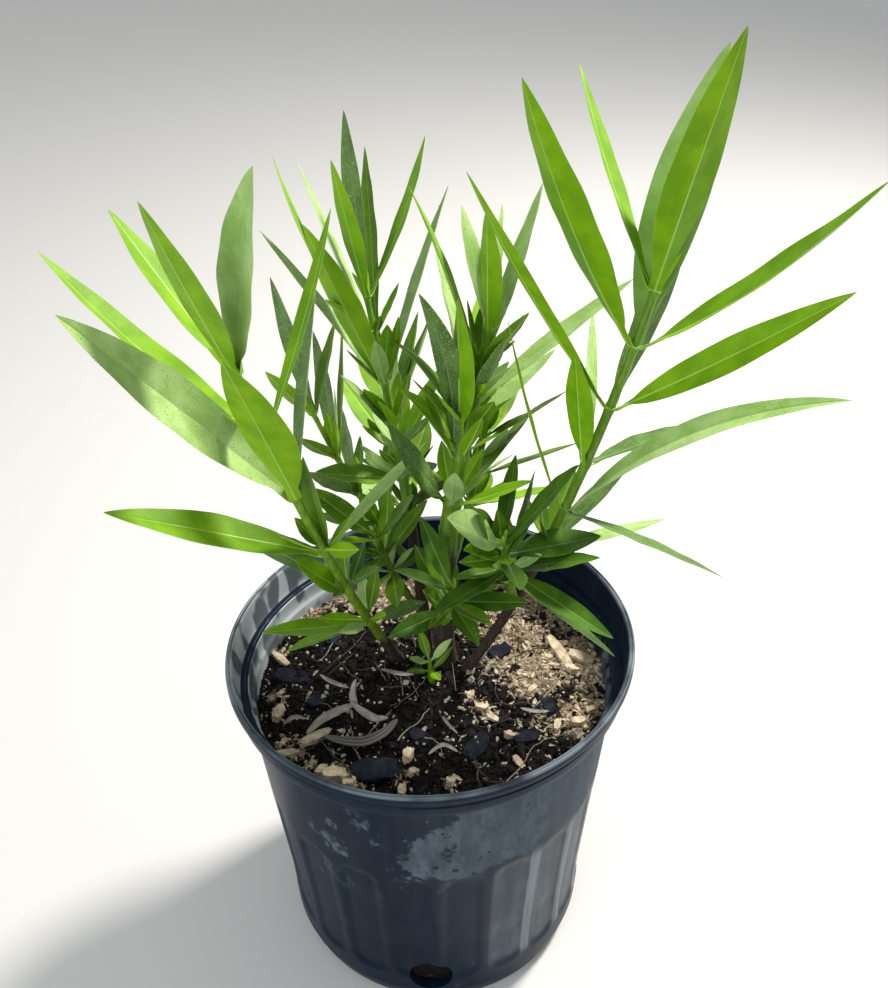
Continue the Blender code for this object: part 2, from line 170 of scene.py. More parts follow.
def ramp(value, low, high, lowResult=0.0, highResult=1.0):
    inputs = {"Value": value, "From Min": low, "From Max": high, "To Min": lowResult, "To Max": highResult}
    return output(value.tree, "ShaderNodeMapRange", inputs, interpolation_type="SMOOTHSTEP")


def combine(tree, x, y, z):
    return output(tree, "ShaderNodeCombineXYZ", (x, y, z))


def split(vector):
    return [Value(socket) for socket in addNode(vector.tree, "ShaderNodeSeparateXYZ", (vector,)).outputs]


def scaled(vector, factor):
    return output(vector.tree, "ShaderNodeVectorMath", {0: vector, "Scale": factor}, operation="SCALE")


def position(tree):
    return output(tree, "GeometryNodeInputPosition")


def named(tree, name):
    return output(tree, "GeometryNodeInputNamedAttribute", {"Name": name}, "Attribute", data_type="FLOAT")


socketKinds = {float: "Float", int: "Int", str: "String"}


def newRule(name, values):
    # A geometry tree whose named inputs start at these values, where None stands for a set of shapes
    tree = bpy.data.node_groups.new(name, "GeometryNodeTree")
    tree.is_modifier = True
    tree.interface.new_socket("Geometry", in_out="INPUT", socket_type="NodeSocketGeometry")
    for label, value in values.items():
        kind = socketKinds.get(type(value), "Collection")
        socket = tree.interface.new_socket(label, in_out="INPUT", socket_type="NodeSocket" + kind)
        if value is not None:
            socket.default_value = value
    tree.interface.new_socket("Material", in_out="INPUT", socket_type="NodeSocketMaterial")
    tree.interface.new_socket("Geometry", in_out="OUTPUT", socket_type="NodeSocketGeometry")
    sockets = addNode(tree, "NodeGroupInput").outputs
    return tree, {socket.name: Value(socket) for socket in sockets if socket.name}


def endRule(tree, geometry, material):
    realized = output(tree, "GeometryNodeRealizeInstances", (geometry,))
    painted = output(tree, "GeometryNodeSetMaterial", {"Geometry": realized, "Material": material})
    addNode(tree, "NodeGroupOutput", (painted,))
    return tree


def plainMesh(made):
    graph = bpy.context.evaluated_depsgraph_get()
    mesh = bpy.data.meshes.new_from_object(made.evaluated_get(graph), depsgraph=graph)
    made.modifiers.clear()
    return mesh


def grow(base, tree, values, name=None):
    # Runs the rule on the base and keeps the result as a plain mesh
    modifier = base.modifiers.new(tree.name, "NODES")
    modifier.node_group = tree
    for item in tree.interface.items_tree:
        if item.item_type == "SOCKET" and item.in_out == "INPUT" and item.name in values:
            modifier[item.identifier] = values[item.name]
    mesh = plainMesh(base)
    if name is None:
        base.data = mesh
        return base
    return addToScene(name, mesh)


def cutOut(made, cutters):
    for cutter in cutters:
        modifier = made.modifiers.new("cut", "BOOLEAN")
        modifier.operation = "DIFFERENCE"
        modifier.object = cutter
    made.data = plainMesh(made)
    for cutter in cutters:
        bpy.data.objects.remove(cutter, do_unlink=True)


def settle(made, sharp=None, node=None):
    # Every piece of the plant rides the one body
    made.data.validate()
    if sharp is not None:
        made.data.shade_smooth()
        made.data.set_sharp_from_angle(angle=math.radians(sharp))
    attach(made, "root")
    if node:
        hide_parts(node)
    print(f"  {made.name}: {sum(len(face.vertices) - 2 for face in made.data.polygons)} triangles")


# Camera, lamps and floor

viewSettings = {
    "target": (0.0083, 0.0, 0.3196),
    "elevation": 35.98,  # degrees above the horizon
    "distance": 0.5575,
    "roll": -0.743,
    "lens": 39.39,
    "sensor": 36.0,
    "nearest": 0.01,
}

lampSettings = {
    "key": {"place": (0.85, 0.75, 1.35), "size": 0.30, "power": 42.0, "colour": (1.0, 0.96, 0.89)},
    "fill": {"place": (-0.9, -1.2, 0.9), "size": 1.2, "power": 11.0, "colour": (0.9, 0.95, 1.0)},
}
lampTarget = Vector((0.0, 0.0, 0.25))

studioSettings = {
    "sky": (0.90, 0.93, 0.95),
    "skyStrength": 0.60,
    "floorSize": 8.0,
    "floorColour": (0.66, 0.65, 0.63),
    "floorRoughness": 0.7,
}


def makeCamera():
    elevation = math.radians(viewSettings["elevation"])
    roll = math.radians(viewSettings["roll"])
    back = Vector((0.0, -math.cos(elevation), math.sin(elevation)))
    place = Vector(viewSettings["target"]) + back * viewSettings["distance"]
    level = Vector((1.0, 0.0, 0.0))
    above = level.cross(-back)
    right = level * math.cos(roll) + above * math.sin(roll)
    top = above * math.cos(roll) - level * math.sin(roll)
    data = bpy.data.cameras.new("camera")
    data.sensor_width = viewSettings["sensor"]
    data.lens = viewSettings["lens"]
    data.clip_start = viewSettings["nearest"]
    camera = addToScene("camera", data)
    camera.matrix_world = Matrix.Translation(place) @ Matrix((right, top, back)).transposed().to_4x4()
    bpy.context.scene.camera = camera


def makeLamp(name, settings):
    data = bpy.data.lights.new(name, "AREA")
    data.shape = "DISK"
    data.size = settings["size"]
    data.energy = settings["power"]
    data.color = settings["colour"]
    lamp = addToScene(name + "_lamp", data)
    lamp.location = settings["place"]
    lamp.rotation_mode = "QUATERNION"
    lamp.rotation_quaternion = (lampTarget - lamp.location).to_track_quat("-Z", "Y")


def makeStudio():
    for name, settings in lampSettings.items():
        makeLamp(name, settings)
    world = bpy.data.worlds.new("sky")
    world.use_nodes = True
    background = world.node_tree.nodes["Background"]
    background.inputs["Color"].default_value = (*studioSettings["sky"], 1.0)
    background.inputs["Strength"].default_value = studioSettings["skyStrength"]
    bpy.context.scene.world = world
    bpy.context.scene.view_settings.view_transform = "Standard"
    half = studioSettings["floorSize"] / 2
    corners = [(-half, -half, 0), (half, -half, 0), (half, half, 0), (-half, half, 0)]
    floor = meshObject("floor", corners, [(0, 1, 2, 3)])
    material = newFinish("floor", studioSettings["floorColour"], studioSettings["floorRoughness"])[0]
    floor.data.materials.append(material)


# Finishes


def newFinish(name, colour, roughness, extras=None):
    material = bpy.data.materials.new(name)
    material.use_nodes = True
    shader = material.node_tree.nodes["Principled BSDF"]
    values = {"Base Color": (*colour, 1.0), "Roughness": roughness, **(extras or {})}
    for key, value in values.items():
        setInput(shader, key, value)
    return material, material.node_tree, shader


def noiseOn(tree, scale, detail=3.0, upward=1.0, roughness=0.55):
    # Noise in metres, drawn out along the height where upward is under 1
    place = output(tree, "ShaderNodeTexCoord", (), "Object")
    mapped = output(tree, "ShaderNodeMapping", {"Vector": place, "Scale": (1.0, 1.0, upward)})
    inputs = {"Vector": mapped, "Scale": scale, "Detail": detail, "Roughness": roughness}
    return output(tree, "ShaderNodeTexNoise", inputs, "Fac")


def attributeOn(tree, name):
    return output(tree, "ShaderNodeAttribute", (), "Fac", attribute_name=name)


def bladeMap(tree):
    return split(output(tree, "ShaderNodeUVMap", uv_map="blade"))


def blend(amount, first, second):
    inputs = {0: amount}
    for index, colour in ((6, first), (7, second)):
        inputs[index] = colour if isinstance(colour, Value) else (*colour, 1.0)
    return output(amount.tree, "ShaderNodeMix", inputs, 2, data_type="RGBA", clamp_factor=True)


def bump(shader, height, strength, distance):
    inputs = {"Height": height, "Strength": strength, "Distance": distance}
    setInput(shader, "Normal", output(height.tree, "ShaderNodeBump", inputs))


# Leaf kinds: letter in the rows below, light and shade of the blade, rib, roughness of the upper face,
# share of pale specks, and wetness. Several kinds are lit and shaded copies of one leaf colour: b is painted
# sun shining through the blade, p a painted whitish sheen, s painted light on leaves that stand in shade,
# and e painted shade on low inner leaves
leafKinds = {
    "bright": ("b", (0.205, 0.415, 0.001), (0.140, 0.315, 0.001), (0.400, 0.620, 0.090), 0.50, 0.10, 0.05),
    "mid": ("m", (0.128, 0.265, 0.003), (0.080, 0.180, 0.002), (0.300, 0.470, 0.080), 0.46, 0.22, 0.20),
    "dark": ("d", (0.120, 0.225, 0.045), (0.072, 0.150, 0.027), (0.190, 0.300, 0.090), 0.38, 0.70, 0.8),
    "soft": ("s", (0.370, 0.570, 0.150), (0.270, 0.460, 0.095), (0.380, 0.550, 0.160), 0.38, 0.45, 0.6),
    "deep": ("e", (0.066, 0.160, 0.006), (0.036, 0.100, 0.005), (0.150, 0.270, 0.050), 0.42, 0.12, 0.06),
    "pale": ("p", (0.400, 0.570, 0.200), (0.260, 0.430, 0.100), (0.420, 0.580, 0.200), 0.30, 0.70, 0.9),
    "young": ("y", (0.310, 0.530, 0.004), (0.230, 0.430, 0.003), (0.420, 0.620, 0.120), 0.46, 0.15, 0.1),
}
kindByLetter = {row[0]: kind for kind, row in leafKinds.items()}

# Veins on a blade whose map is in cm
veinSettings = {"spacing": 0.15, "slant": 0.6, "wander": 0.25, "tint": 0.09, "bump": 0.10}
# The pale of the specks, partly a painted glint of water
speckColour = (0.52, 0.66, 0.34)


def bladeFinish(kind):
    _, light, shade, rib, roughness, specked, _ = leafKinds[kind]
    material, tree, shader = newFinish("leaf_" + kind, light, roughness, {"Specular IOR Level": 0.16})
    lengthwise, sideways, _ = bladeMap(tree)
    wander = noiseOn(tree, 160.0, 2.0) * veinSettings["wander"]
    along = lengthwise - abs(sideways) * veinSettings["slant"] + wander
    veins = ramp((along * (fullTurn / veinSettings["spacing"])).calc("SINE"), 0.3, 1.0)
    colour = blend(ramp(noiseOn(tree, 70.0, 4.0), 0.35, 0.65), shade, light)
    tinted = blend(veins * veinSettings["tint"], colour, rib)
    # Pale specks: partly the leaf's own flecks and partly painted glints of water on the blade
    specks = ramp(noiseOn(tree, 1700.0, 1.0), 0.60, 0.70) * specked
    clouds = ramp(noiseOn(tree, 90.0), 0.35, 0.60)
    setInput(shader, "Base Color", blend(specks * clouds, tinted, speckColour))
    grain = noiseOn(tree, 1400.0, 2.0)
    setInput(shader, "Roughness", ramp(grain, 0.3, 0.7, roughness - 0.06, roughness + 0.10))
    bump(shader, veins * veinSettings["bump"] + grain * 0.5, 0.35, 0.15 * mm)
    return material


def ribFinish(kind):
    light = leafKinds[kind][3]
    material, tree, shader = newFinish("rib_" + kind, light, 0.45)
    shade = tuple(0.75 * value for value in light)
    setInput(shader, "Base Color", blend(noiseOn(tree, 120.0), shade, light))
    bump(shader, noiseOn(tree, 900.0), 0.2, 0.1 * mm)
    return material


def stemFinish():
    # Grey-brown cork low down that gives way to green skin, by the woody share along each stem
    material, tree, shader = newFinish("stem", (0.2, 0.3, 0.05), 0.55)
    woody = attributeOn(tree, "woody")
    streaks = noiseOn(tree, 420.0, 4.0, 0.16)
    flecks = ramp(noiseOn(tree, 900.0, 2.0, 0.45), 0.62, 0.72)
    cork = blend(ramp(streaks, 0.3, 0.7), (0.022, 0.014, 0.008), (0.055, 0.035, 0.020))
    cork = blend(flecks * 0.45, cork, (0.20, 0.155, 0.11))
    skin = blend(ramp(streaks, 0.35, 0.7), (0.100, 0.215, 0.005), (0.190, 0.345, 0.010))
    skin = blend(flecks * 0.35, skin, (0.34, 0.44, 0.16))
    ragged = woody + ramp(noiseOn(tree, 260.0, 3.0, 0.3), 0.0, 1.0, -0.22, 0.22)
    setInput(shader, "Base Color", blend(ramp(ragged, 0.35, 0.65), skin, cork))
    setInput(shader, "Roughness", ramp(woody, 0.2, 0.8, 0.42, 0.85))
    bump(shader, streaks + flecks * 0.4, 0.5, 0.3 * mm)
    return material


# Where the pot has dust and where it is painted as lit, each from none to full: turns in radians, heights and
# x in metres
potMarks = {
    "hazeLeft": (-1.72, -1.45),
    "hazeRight": (0.7, -0.3),
    "hazeLow": (0.122, 0.150),
    "hazeHigh": (0.206, 0.190),
    "spotsLeft": (-2.35, -2.05),
    "spotsRight": (-1.25, -1.55),
    "spotsLow": (0.095, 0.150),
    "spotsHigh": (0.200, 0.170),
    "recessLeft": (-1.24, -1.20),
    "recessRight": (0.5, -0.2),
    "recessLow": (0.024, 0.034),
    "recessHigh": (0.140, 0.126),
    "insideFacing": (-0.02, -0.05),
    "insideEdge": (-0.035, -0.075),
    "rimEdge": (0.2176, 0.2190),
}


def potFinish():
    # Blue-black plastic: on one side a patchy haze that is partly dust and partly painted sunlight, painted
    # glints on the rim and a painted pool of sunlight inside
    def mark(value, name):
        return ramp(value, *potMarks[name])

    extras = {"Specular IOR Level": 0.16, "Specular Tint": (0.55, 0.75, 1.0, 1.0)}
    material, tree, shader = newFinish("pot_plastic", (0.002, 0.009, 0.024), 0.42, extras)
    x, y, height = split(output(tree, "ShaderNodeTexCoord", (), "Object"))
    turn = y.calc("ARCTAN2", x)
    cloud = noiseOn(tree, 60.0, 6.0, 0.8, 0.66)
    fine = noiseOn(tree, 340.0, 5.0, 0.5, 0.65)
    streak = noiseOn(tree, 130.0, 4.0, 0.06)
    drift = noiseOn(tree, 26.0, 4.0) - 0.5
    turned = turn + drift
    raised = height + drift * 0.035
    # A haze below the rim, partly dust and partly painted sunlight on the lit side, and spots of dust further
    # left
    side = mark(turned, "hazeLeft") * mark(turn, "hazeRight")
    band = mark(raised, "hazeLow") * mark(raised, "hazeHigh")
    haze = ramp(side * band + (cloud - 0.5) * 3.2, 0.50, 0.72)
    haze = haze * ramp(noiseOn(tree, 90.0, 4.0, 0.3), 0.3, 0.65, 0.45, 1.0)
    spots = mark(turned, "spotsLeft") * mark(turned, "spotsRight")
    spots = spots * (mark(height, "spotsLow") * mark(height, "spotsHigh"))
    spots = spots * ramp(cloud, 0.54, 0.60)
    # Dust together with the painted sunlight of the haze
    dustAndSunlight = (haze * ramp(fine, 0.25, 0.6, 0.55, 1.0)).calc("MAXIMUM", spots * ramp(fine, 0.35, 0.55))
    # Painted sunlight in the recesses low down on the lit side, and painted highlights on the ribs between
    # them
    steps = (turn - potFlutes["Flute Turn"]) / (fullTurn / potFlutes["Flute Count"])
    ribs = ramp(abs(steps - steps.calc("ROUND")), 0.36, 0.43)
    low = mark(turn, "recessLeft") * mark(height, "recessHigh")
    low = low * mark(height, "recessLow") * mark(turn, "recessRight")
    low = low * ramp(streak, 0.25, 0.75, 0.45, 1.0) * ramp(ribs + cloud, 0.3, 1.3, 0.25, 1.0)
    # A painted pool of sunlight inside, and painted glints along the edge of the rim
    normal = split(output(tree, "ShaderNodeNewGeometry", (), "Normal"))
    inner = mark(normal[0] * x + normal[1] * y, "insideFacing") * mark(x, "insideEdge")
    inner = inner * ramp(noiseOn(tree, 75.0, 1.0, 0.45), 0.42, 0.52, 0.25, 1.0)
    # Painted glints along the edge of the rim
    rimGlints = mark(height, "rimEdge") * ramp(noiseOn(tree, 30.0), 0.40, 0.62, 0.25, 0.9)
    colour = blend(ramp(cloud, 0.3, 0.7), (0.0014, 0.0065, 0.0175), (0.0034, 0.0115, 0.0270))
    # Faint streaks, dust with painted sunlight, painted sunlight in the recesses, painted glints on the rim
    # and a painted pool of sunlight inside
    for amount, paint in (
        (ramp(streak, 0.45, 0.75) * 0.05, (0.09, 0.12, 0.145)),
        (dustAndSunlight * 0.62, (0.150, 0.190, 0.225)),
        (low * 0.72, (0.290, 0.345, 0.385)),
        (rimGlints * 0.8, (0.22, 0.26, 0.29)),
        (inner * 0.9, (0.42, 0.47, 0.49)),
    ):
        colour = blend(amount, colour, paint)
    setInput(shader, "Base Color", colour)
    setInput(shader, "Roughness", ramp(dustAndSunlight, 0.0, 1.0, 0.40, 0.8))
    bump(shader, fine * 0.35 + dustAndSunlight * 0.5, 0.35, 0.15 * mm)
    return material


def crumbFinish(name, light, shade, scale=500.0):
    material, tree, shader = newFinish(name, light, 0.9, {"Specular IOR Level": 0.15})
    grain = noiseOn(tree, scale, 4.0, 1.0, 0.6)
    setInput(shader, "Base Color", blend(ramp(grain, 0.3, 0.7), shade, light))
    bump(shader, grain, 0.6, 0.4 * mm)
    return material


def bedFinish():
    material, tree, shader = newFinish("bark_bed", (0.02, 0.016, 0.012), 0.92, {"Specular IOR Level": 0.1})
    grain = noiseOn(tree, 600.0, 5.0, 1.0, 0.65)
    coarse = noiseOn(tree, 150.0)
    # Dark where the bark is damp and painted as shaded, pale where it is dry and painted as sunlit
    shadedAndDamp = blend(ramp(grain, 0.35, 0.7), (0.0028, 0.0026, 0.0026), (0.018, 0.0145, 0.012))
    sunlitAndDry = blend(ramp(grain, 0.3, 0.65), (0.045, 0.032, 0.022), (0.36, 0.285, 0.195))
    edge = attributeOn(tree, "pale") + (coarse - 0.5) * 0.8
    setInput(shader, "Base Color", blend(ramp(edge, 0.35, 0.65), shadedAndDamp, sunlitAndDry))
    bump(shader, grain + coarse, 0.8, 1.2 * mm)
    return material


def dryLeafFinish():
    material, tree, shader = newFinish("dry_leaf", (0.17, 0.15, 0.13), 0.8)
    stripes = ramp((bladeMap(tree)[1] * 13.0).calc("SINE"), -0.8, 0.9)
    colour = blend(stripes, (0.050, 0.046, 0.040), (0.155, 0.145, 0.130))
    dusty = ramp(noiseOn(tree, 160.0), 0.4, 0.65, 0.5, 1.0) * attributeOn(tree, "bleached")
    setInput(shader, "Base Color", blend(dusty, colour, (0.58, 0.54, 0.47)))
    bump(shader, stripes, 0.4, 0.2 * mm)
    return material


def beadFinish():
    # Drops whose pale base colour paints their glints, so that they are seen as small pale glints
    extras = {"Transmission Weight": 0.35, "IOR": 1.33}
    return newFinish("water", (0.54, 0.68, 0.36), 0.08, extras)[0]


# Pot

potFlutes = {
    "Flute Count": 21.0,
    "Flute Depth": 1.5 * mm,
    "Flute Width": 21.5 * mm,
    "Flute Low": 27.5 * mm,
    "Flute High": 132.0 * mm,
    "Flute Turn": math.radians(-63.5),  # the middle of one flute
    "Flute Corner": 8.0 * mm,
    "Flute Slope": 6.0 * mm,
    "Unevenness": 0.5 * mm,
    "Oval": 0.02,
    "Oval Turn": math.radians(35.0),
    "Pot Height": 219.5 * mm,
}

potSettings = {
    "sides": 504,
    "drainCount": 4,
    "drainRadius": 13.0 * mm,
    "drainHeight": 28.0 * mm,
    "drainTurn": -92.0,
    "drainSides": 48,
    "drainReach": (84.0 * mm, 102.0 * mm),
}

# Wall stations in mm, as (radius, height), from the edge of the underside to the floor inside
footStations = ((89.3, 0.0), (90.3, 0.4), (90.9, 1.5), (91.8, 4.0), (93.0, 8.0), (94.0, 12.0))
wallTaper = ((12.0, 94.0), (60.0, 95.7), (201.2, 106.2))
wallRows = {"start": 14.0, "end": 200.5, "fine": 1.9, "fineTop": 136.0, "coarse": 5.5, "fade": 6.0}
collarStations = (
    (106.2, 201.1), (108.6, 201.3), (110.9, 201.5), (111.5, 202.0), (111.9, 203.2), (112.1, 206.0),
    (112.2, 208.5), (111.7, 209.1), (111.75, 211.0), (112.0, 213.0), (113.6, 213.5), (114.7, 214.2),
    (115.0, 215.6), (115.0, 217.4), (114.8, 218.7), (114.3, 219.35), (113.8, 219.5), (113.3, 218.9),
    (112.9, 218.9), (112.5, 219.45), (112.0, 219.4), (111.5, 218.8), (111.2, 217.5), (111.0, 214.0),
    (110.3, 210.0), (109.6, 205.0), (109.2, 202.2), (108.7, 201.2), (107.2, 200.7), (104.6, 200.5),
    (104.0, 200.0), (103.9, 196.0), (103.7, 192.0), (103.2, 191.0), (102.2, 190.3), (101.7, 189.6),
)
innerTaper = ((2.5, 88.0), (190.0, 101.8))
innerHeights = (185, 178, 165, 145, 120, 95, 70, 50, 40, 30, 20, 10, 5, 2.5)


def onTaper(taper, height):
    for (low, lowRadius), (high, highRadius) in zip(taper, taper[1:]):
        if height <= high:
            break
    return lowRadius + (highRadius - lowRadius) * (height - low) / (high - low)


def ovalShare(turn, height):
    rise = potFlutes["Oval"] * height / potFlutes["Pot Height"]
    return 1 + rise * math.cos(2 * (turn - potFlutes["Oval Turn"]))


def potRule():
    tree, given = newRule("pot_flutes", potFlutes)
    place = position(tree)
    x, y, z = split(place)
    turn = y.calc("ARCTAN2", x)
    radius = (x * x + y * y).calc("SQRT")
    pitch = output(tree, "ShaderNodeMath", (fullTurn, given["Flute Count"]), operation="DIVIDE")
    steps = (turn - given["Flute Turn"]) / pitch
    arc = abs((steps - steps.calc("ROUND")) * pitch * radius)
    middle = (given["Flute Low"] + given["Flute High"]) * 0.5
    tall = (given["Flute High"] - given["Flute Low"]) * 0.5
    # Distance to a panel with rounded corners, taken across and up the wall
    corner = given["Flute Corner"]
    across = arc - given["Flute Width"] * 0.5 + corner
    upward = abs(z - middle) - tall + corner
    beyond = combine(tree, across.calc("MAXIMUM", 0.0), upward.calc("MAXIMUM", 0.0), 0.0)
    outside = output(tree, "ShaderNodeVectorMath", (beyond,), "Value", operation="LENGTH")
    inside = across.calc("MAXIMUM", upward).calc("MINIMUM", 0.0)
    half = given["Flute Slope"] * 0.5
    sunk = ramp(outside + inside - corner, half, half * -1.0)
    outer = named(tree, "outer")
    drop = sunk * given["Flute Depth"] * outer
    rough = output(tree, "ShaderNodeTexNoise", {"Vector": place, "Scale": 22.0, "Detail": 2.0}, "Fac")
    wave = (rough - 0.5) * given["Unevenness"] * outer
    rise = given["Oval"] * (z / given["Pot Height"])
    lean = ((turn - given["Oval Turn"]) * 2.0).calc("COSINE")
    reach = radius * (rise * lean + 1.0) - drop + wave
    moved = combine(tree, reach * turn.calc("COSINE"), reach * turn.calc("SINE"), z)
    placed = output(tree, "GeometryNodeSetPosition", {"Geometry": given["Geometry"], "Position": moved})
    return endRule(tree, placed, given["Material"])


def potStations():
    # (radius, height, share of the outer wall's relief) in metres
    stations = [(radius, height, 0.0) for radius, height in footStations]
    height = wallRows["start"]
    while height < wallRows["end"]:
        fromEnds = min(height - footStations[-1][1], wallRows["end"] + 1.0 - height)
        stations.append((onTaper(wallTaper, height), height, min(1.0, fromEnds / wallRows["fade"])))
        height += wallRows["fine"] if height < wallRows["fineTop"] else wallRows["coarse"]
    stations += [(radius, height, 0.0) for radius, height in collarStations]
    stations += [(onTaper(innerTaper, height), height, 0.0) for height in innerHeights]
    return [(radius * mm, height * mm, share) for radius, height, share in stations]


def makePot(material):
    sides = potSettings["sides"]
    stations = potStations()
    points, outer, faces = [], [], []
    for row, (radius, height, share) in enumerate(stations):
        points += [roundAbout(fullTurn * side / sides, radius, height) for side in range(sides)]
        outer += [share] * sides
        if row:
            faces += closedBand((row - 1) * sides, row * sides, sides)
    last = len(stations) - 1
    for row, turned in ((0, True), (last, False)):
        faces += fan(len(points), row * sides, sides, turned)
        points.append((0.0, 0.0, stations[row][1]))
        outer.append(0.0)
    pot = meshObject("pot_body", points, faces)
    setAttribute(pot, "outer", outer)
    grow(pot, potRule(), {**potFlutes, "Material": material})
    cutOut(pot, [drainCutter(index) for index in range(potSettings["drainCount"])])
    settle(pot, 32, "pot")


def drainCutter(index):
    turn = math.radians(potSettings["drainTurn"]) + fullTurn * index / potSettings["drainCount"]
    outward = Vector(roundAbout(turn, 1.0))
    side = up.cross(outward)
    sides, radius = potSettings["drainSides"], potSettings["drainRadius"]
    points = []
    for reach in potSettings["drainReach"]:
        centre = outward * reach + up * potSettings["drainHeight"]
        for step in range(sides):
            angle = fullTurn * step / sides
            points.append(centre + (side * math.cos(angle) + up * math.sin(angle)) * radius)
    faces = [turnedOver(range(sides)), tuple(range(sides, 2 * sides))] + closedBand(0, sides, sides)
    return meshObject("drain_cutter", points, faces)


# Potting bark

bedSettings = {
    "top": 189.0 * mm,
    "edge": 181.0 * mm,
    "flat": 36.0 * mm,
    "relief": 4.0 * mm,
    "coarse": 0.55,
    "fine": 0.30,
    "rings": 96,
    "sides": 280,
    "crowding": 0.8,
    "wallGap": 0.25 * mm,
    "hollows": 1.5 * mm,
    "levels": (150 * mm, 100 * mm, 60 * mm, 40 * mm, 28 * mm, 16 * mm, 2.8 * mm),
    "pale": 0.25,
}

# Pale ground, partly dry bark and partly painted sunlight: place, radius and strength, in mm
palePatches = (
    (-28, 80, 24, 1.0), (-50, 86, 16, 1.0), (-12, 62, 14, 0.8), (-86, 66, 16, 1.0), (-68, 76, 12, 0.6),
    (34, 62, 18, 0.9), (60, 74, 20, 0.9), (84, 58, 16, 0.9), (26, 42, 12, 0.8), (52, 34, 17, 1.0),
    (44, 14, 14, 1.0), (60, 0, 14, 1.0), (76, 14, 17, 1.0), (93, 6, 13, 1.0), (96, 28, 12, 0.8),
    (50, -8, 9, 0.9), (78, -32, 12, 0.75), (90, -20, 9, 0.8), (64, -36, 8, 0.5), (-50, -76, 11, 1.0),
    (-92, -12, 7, 0.6), (-94, 24, 6, 0.5), (28, -26, 8, 0.55), (-17, -70, 6, 0.55), (10, -76, 5, 0.5),
    (-78, -50, 8, 0.6), (-68, -62, 6, 0.5),
)

# Heaps and one dip: place, radius and rise, in mm
heaps = (
    (-50, -75, 13, 5.0), (-86, 66, 15, 4.0), (78, -32, 14, 2.0), (70, 8, 26, 2.5), (-2, 12, 24, 2.0),
    (-66, -14, 14, -3.0),
)


def wallRadius(turn, height):
    return (onTaper(innerTaper, height / mm) * mm - bedSettings["wallGap"]) * ovalShare(turn, height)


def awayFrom(x, y, placeX, placeY, radius):
    return math.hypot(x / mm - placeX, y / mm - placeY) / radius


def paleAt(x, y):
    return max(strength * within(1.6 - awayFrom(x, y, *patch)) for *patch, strength in palePatches)


def bedHeight(x, y):
    top, edge, flat = bedSettings["top"], bedSettings["edge"], bedSettings["flat"]
    wall = wallRadius(math.atan2(y, x), edge)
    share = within((math.hypot(x, y) - flat) / (wall - flat))
    height = top + (edge - top) * share
    for *heap, rise in heaps:
        away = awayFrom(x, y, *heap)
        height += rise * mm * math.exp(-away * away * 1.6)
    coarse = bedSettings["coarse"] * noise.noise(Vector((x * 55, y * 55, 3.1)))
    fine = bedSettings["fine"] * noise.fractal(Vector((x * 210, y * 210, 7.7)), 0.9, 2.1, 3)
    return height + bedSettings["relief"] * (coarse + fine) * min(1.0, 1.35 - share)


def onBed(x, y, rise):
    # A point above the bed, from mm
    return Vector((x * mm, y * mm, bedHeight(x * mm, y * mm) + rise * mm))


def makeBed(material):
    rings, sides = bedSettings["rings"], bedSettings["sides"]
    turns = [fullTurn * side / sides for side in range(sides)]
    points = [(0.0, 0.0, bedHeight(0.0, 0.0))]
    for ring in range(1, rings + 1):
        for turn in turns:
            reach = wallRadius(turn, bedSettings["edge"]) * (ring / rings) ** bedSettings["crowding"]
            x, y, _ = roundAbout(turn, reach)
            points.append((x, y, bedHeight(x, y)))
    for height in bedSettings["levels"]:
        for turn in turns:
            hollow = noise.noise(Vector(roundAbout(turn, 9, height * 90))) - 0.1
            reach = wallRadius(turn, height) + bedSettings["hollows"] * min(0.0, hollow)
            points.append(roundAbout(turn, reach, height))
    points.append((0.0, 0.0, bedSettings["levels"][-1]))
    last = len(points) - 1 - sides
    faces = fan(0, 1, sides)
    for low in range(1, last, sides):
        faces += [mirrored(corners) for corners in closedBand(low, low + sides, sides)]
    faces += fan(len(points) - 1, last, sides, True)
    bed = meshObject("bark_bed", points, faces)
    topCount = rings * sides + 1
    # Paleness of the top, partly dry bark and partly painted sunlight; the hidden sides get a fixed value
    pale = [paleAt(x, y) if z > 0.17 else bedSettings["pale"] for x, y, z in points]
    unseen = [0.0] * (len(points) - topCount)
    setAttribute(bed, "pale", pale)
    setAttribute(bed, "paleTop", pale[:topCount] + unseen)
    setAttribute(bed, "darkTop", [within(1.0 - value) for value in pale[:topCount]] + unseen)
    bed.data.materials.append(material)
    return bed


def chipShape(name, length, width, thick, seed, cuts=1):
    # A split, worn flake: a box that is cut each way and has its corners pulled about
    rng = random.Random(name + str(seed))
    shape = bmesh.new()
    bmesh.ops.create_cube(shape, size=1.0)
    bmesh.ops.subdivide_edges(shape, edges=shape.edges, cuts=cuts, use_grid_fill=True)
    for vertex in shape.verts:
        taper = 1.0 - 0.55 * abs(vertex.co.x * 2) ** 2 * rng.uniform(0.5, 1.0)
        vertex.co.x *= length * rng.uniform(0.82, 1.0)
        vertex.co.y *= width * taper * rng.uniform(0.75, 1.0)
        vertex.co.z *= thick * rng.uniform(0.6, 1.1)
        vertex.co.z += thick * 0.25 * math.sin(vertex.co.x / length * 3.0 + seed)
    return bpy.data.objects.new(name, meshFrom(name, shape))


def crumbShape(name, seed):
    rng = random.Random(name + str(seed))
    shape = bmesh.new()
    bmesh.ops.create_icosphere(shape, subdivisions=1, radius=0.5)
    for vertex in shape.verts:
        vertex.co *= rng.uniform(0.7, 1.15)
        vertex.co.x *= 1.35
        vertex.co.z *= 0.65
    return bpy.data.objects.new(name, meshFrom(name, shape))


def shapeKit(name, shapes):
    kit = bpy.data.collections.new(name)
    for shape in shapes:
        kit.objects.link(shape)
    return kit


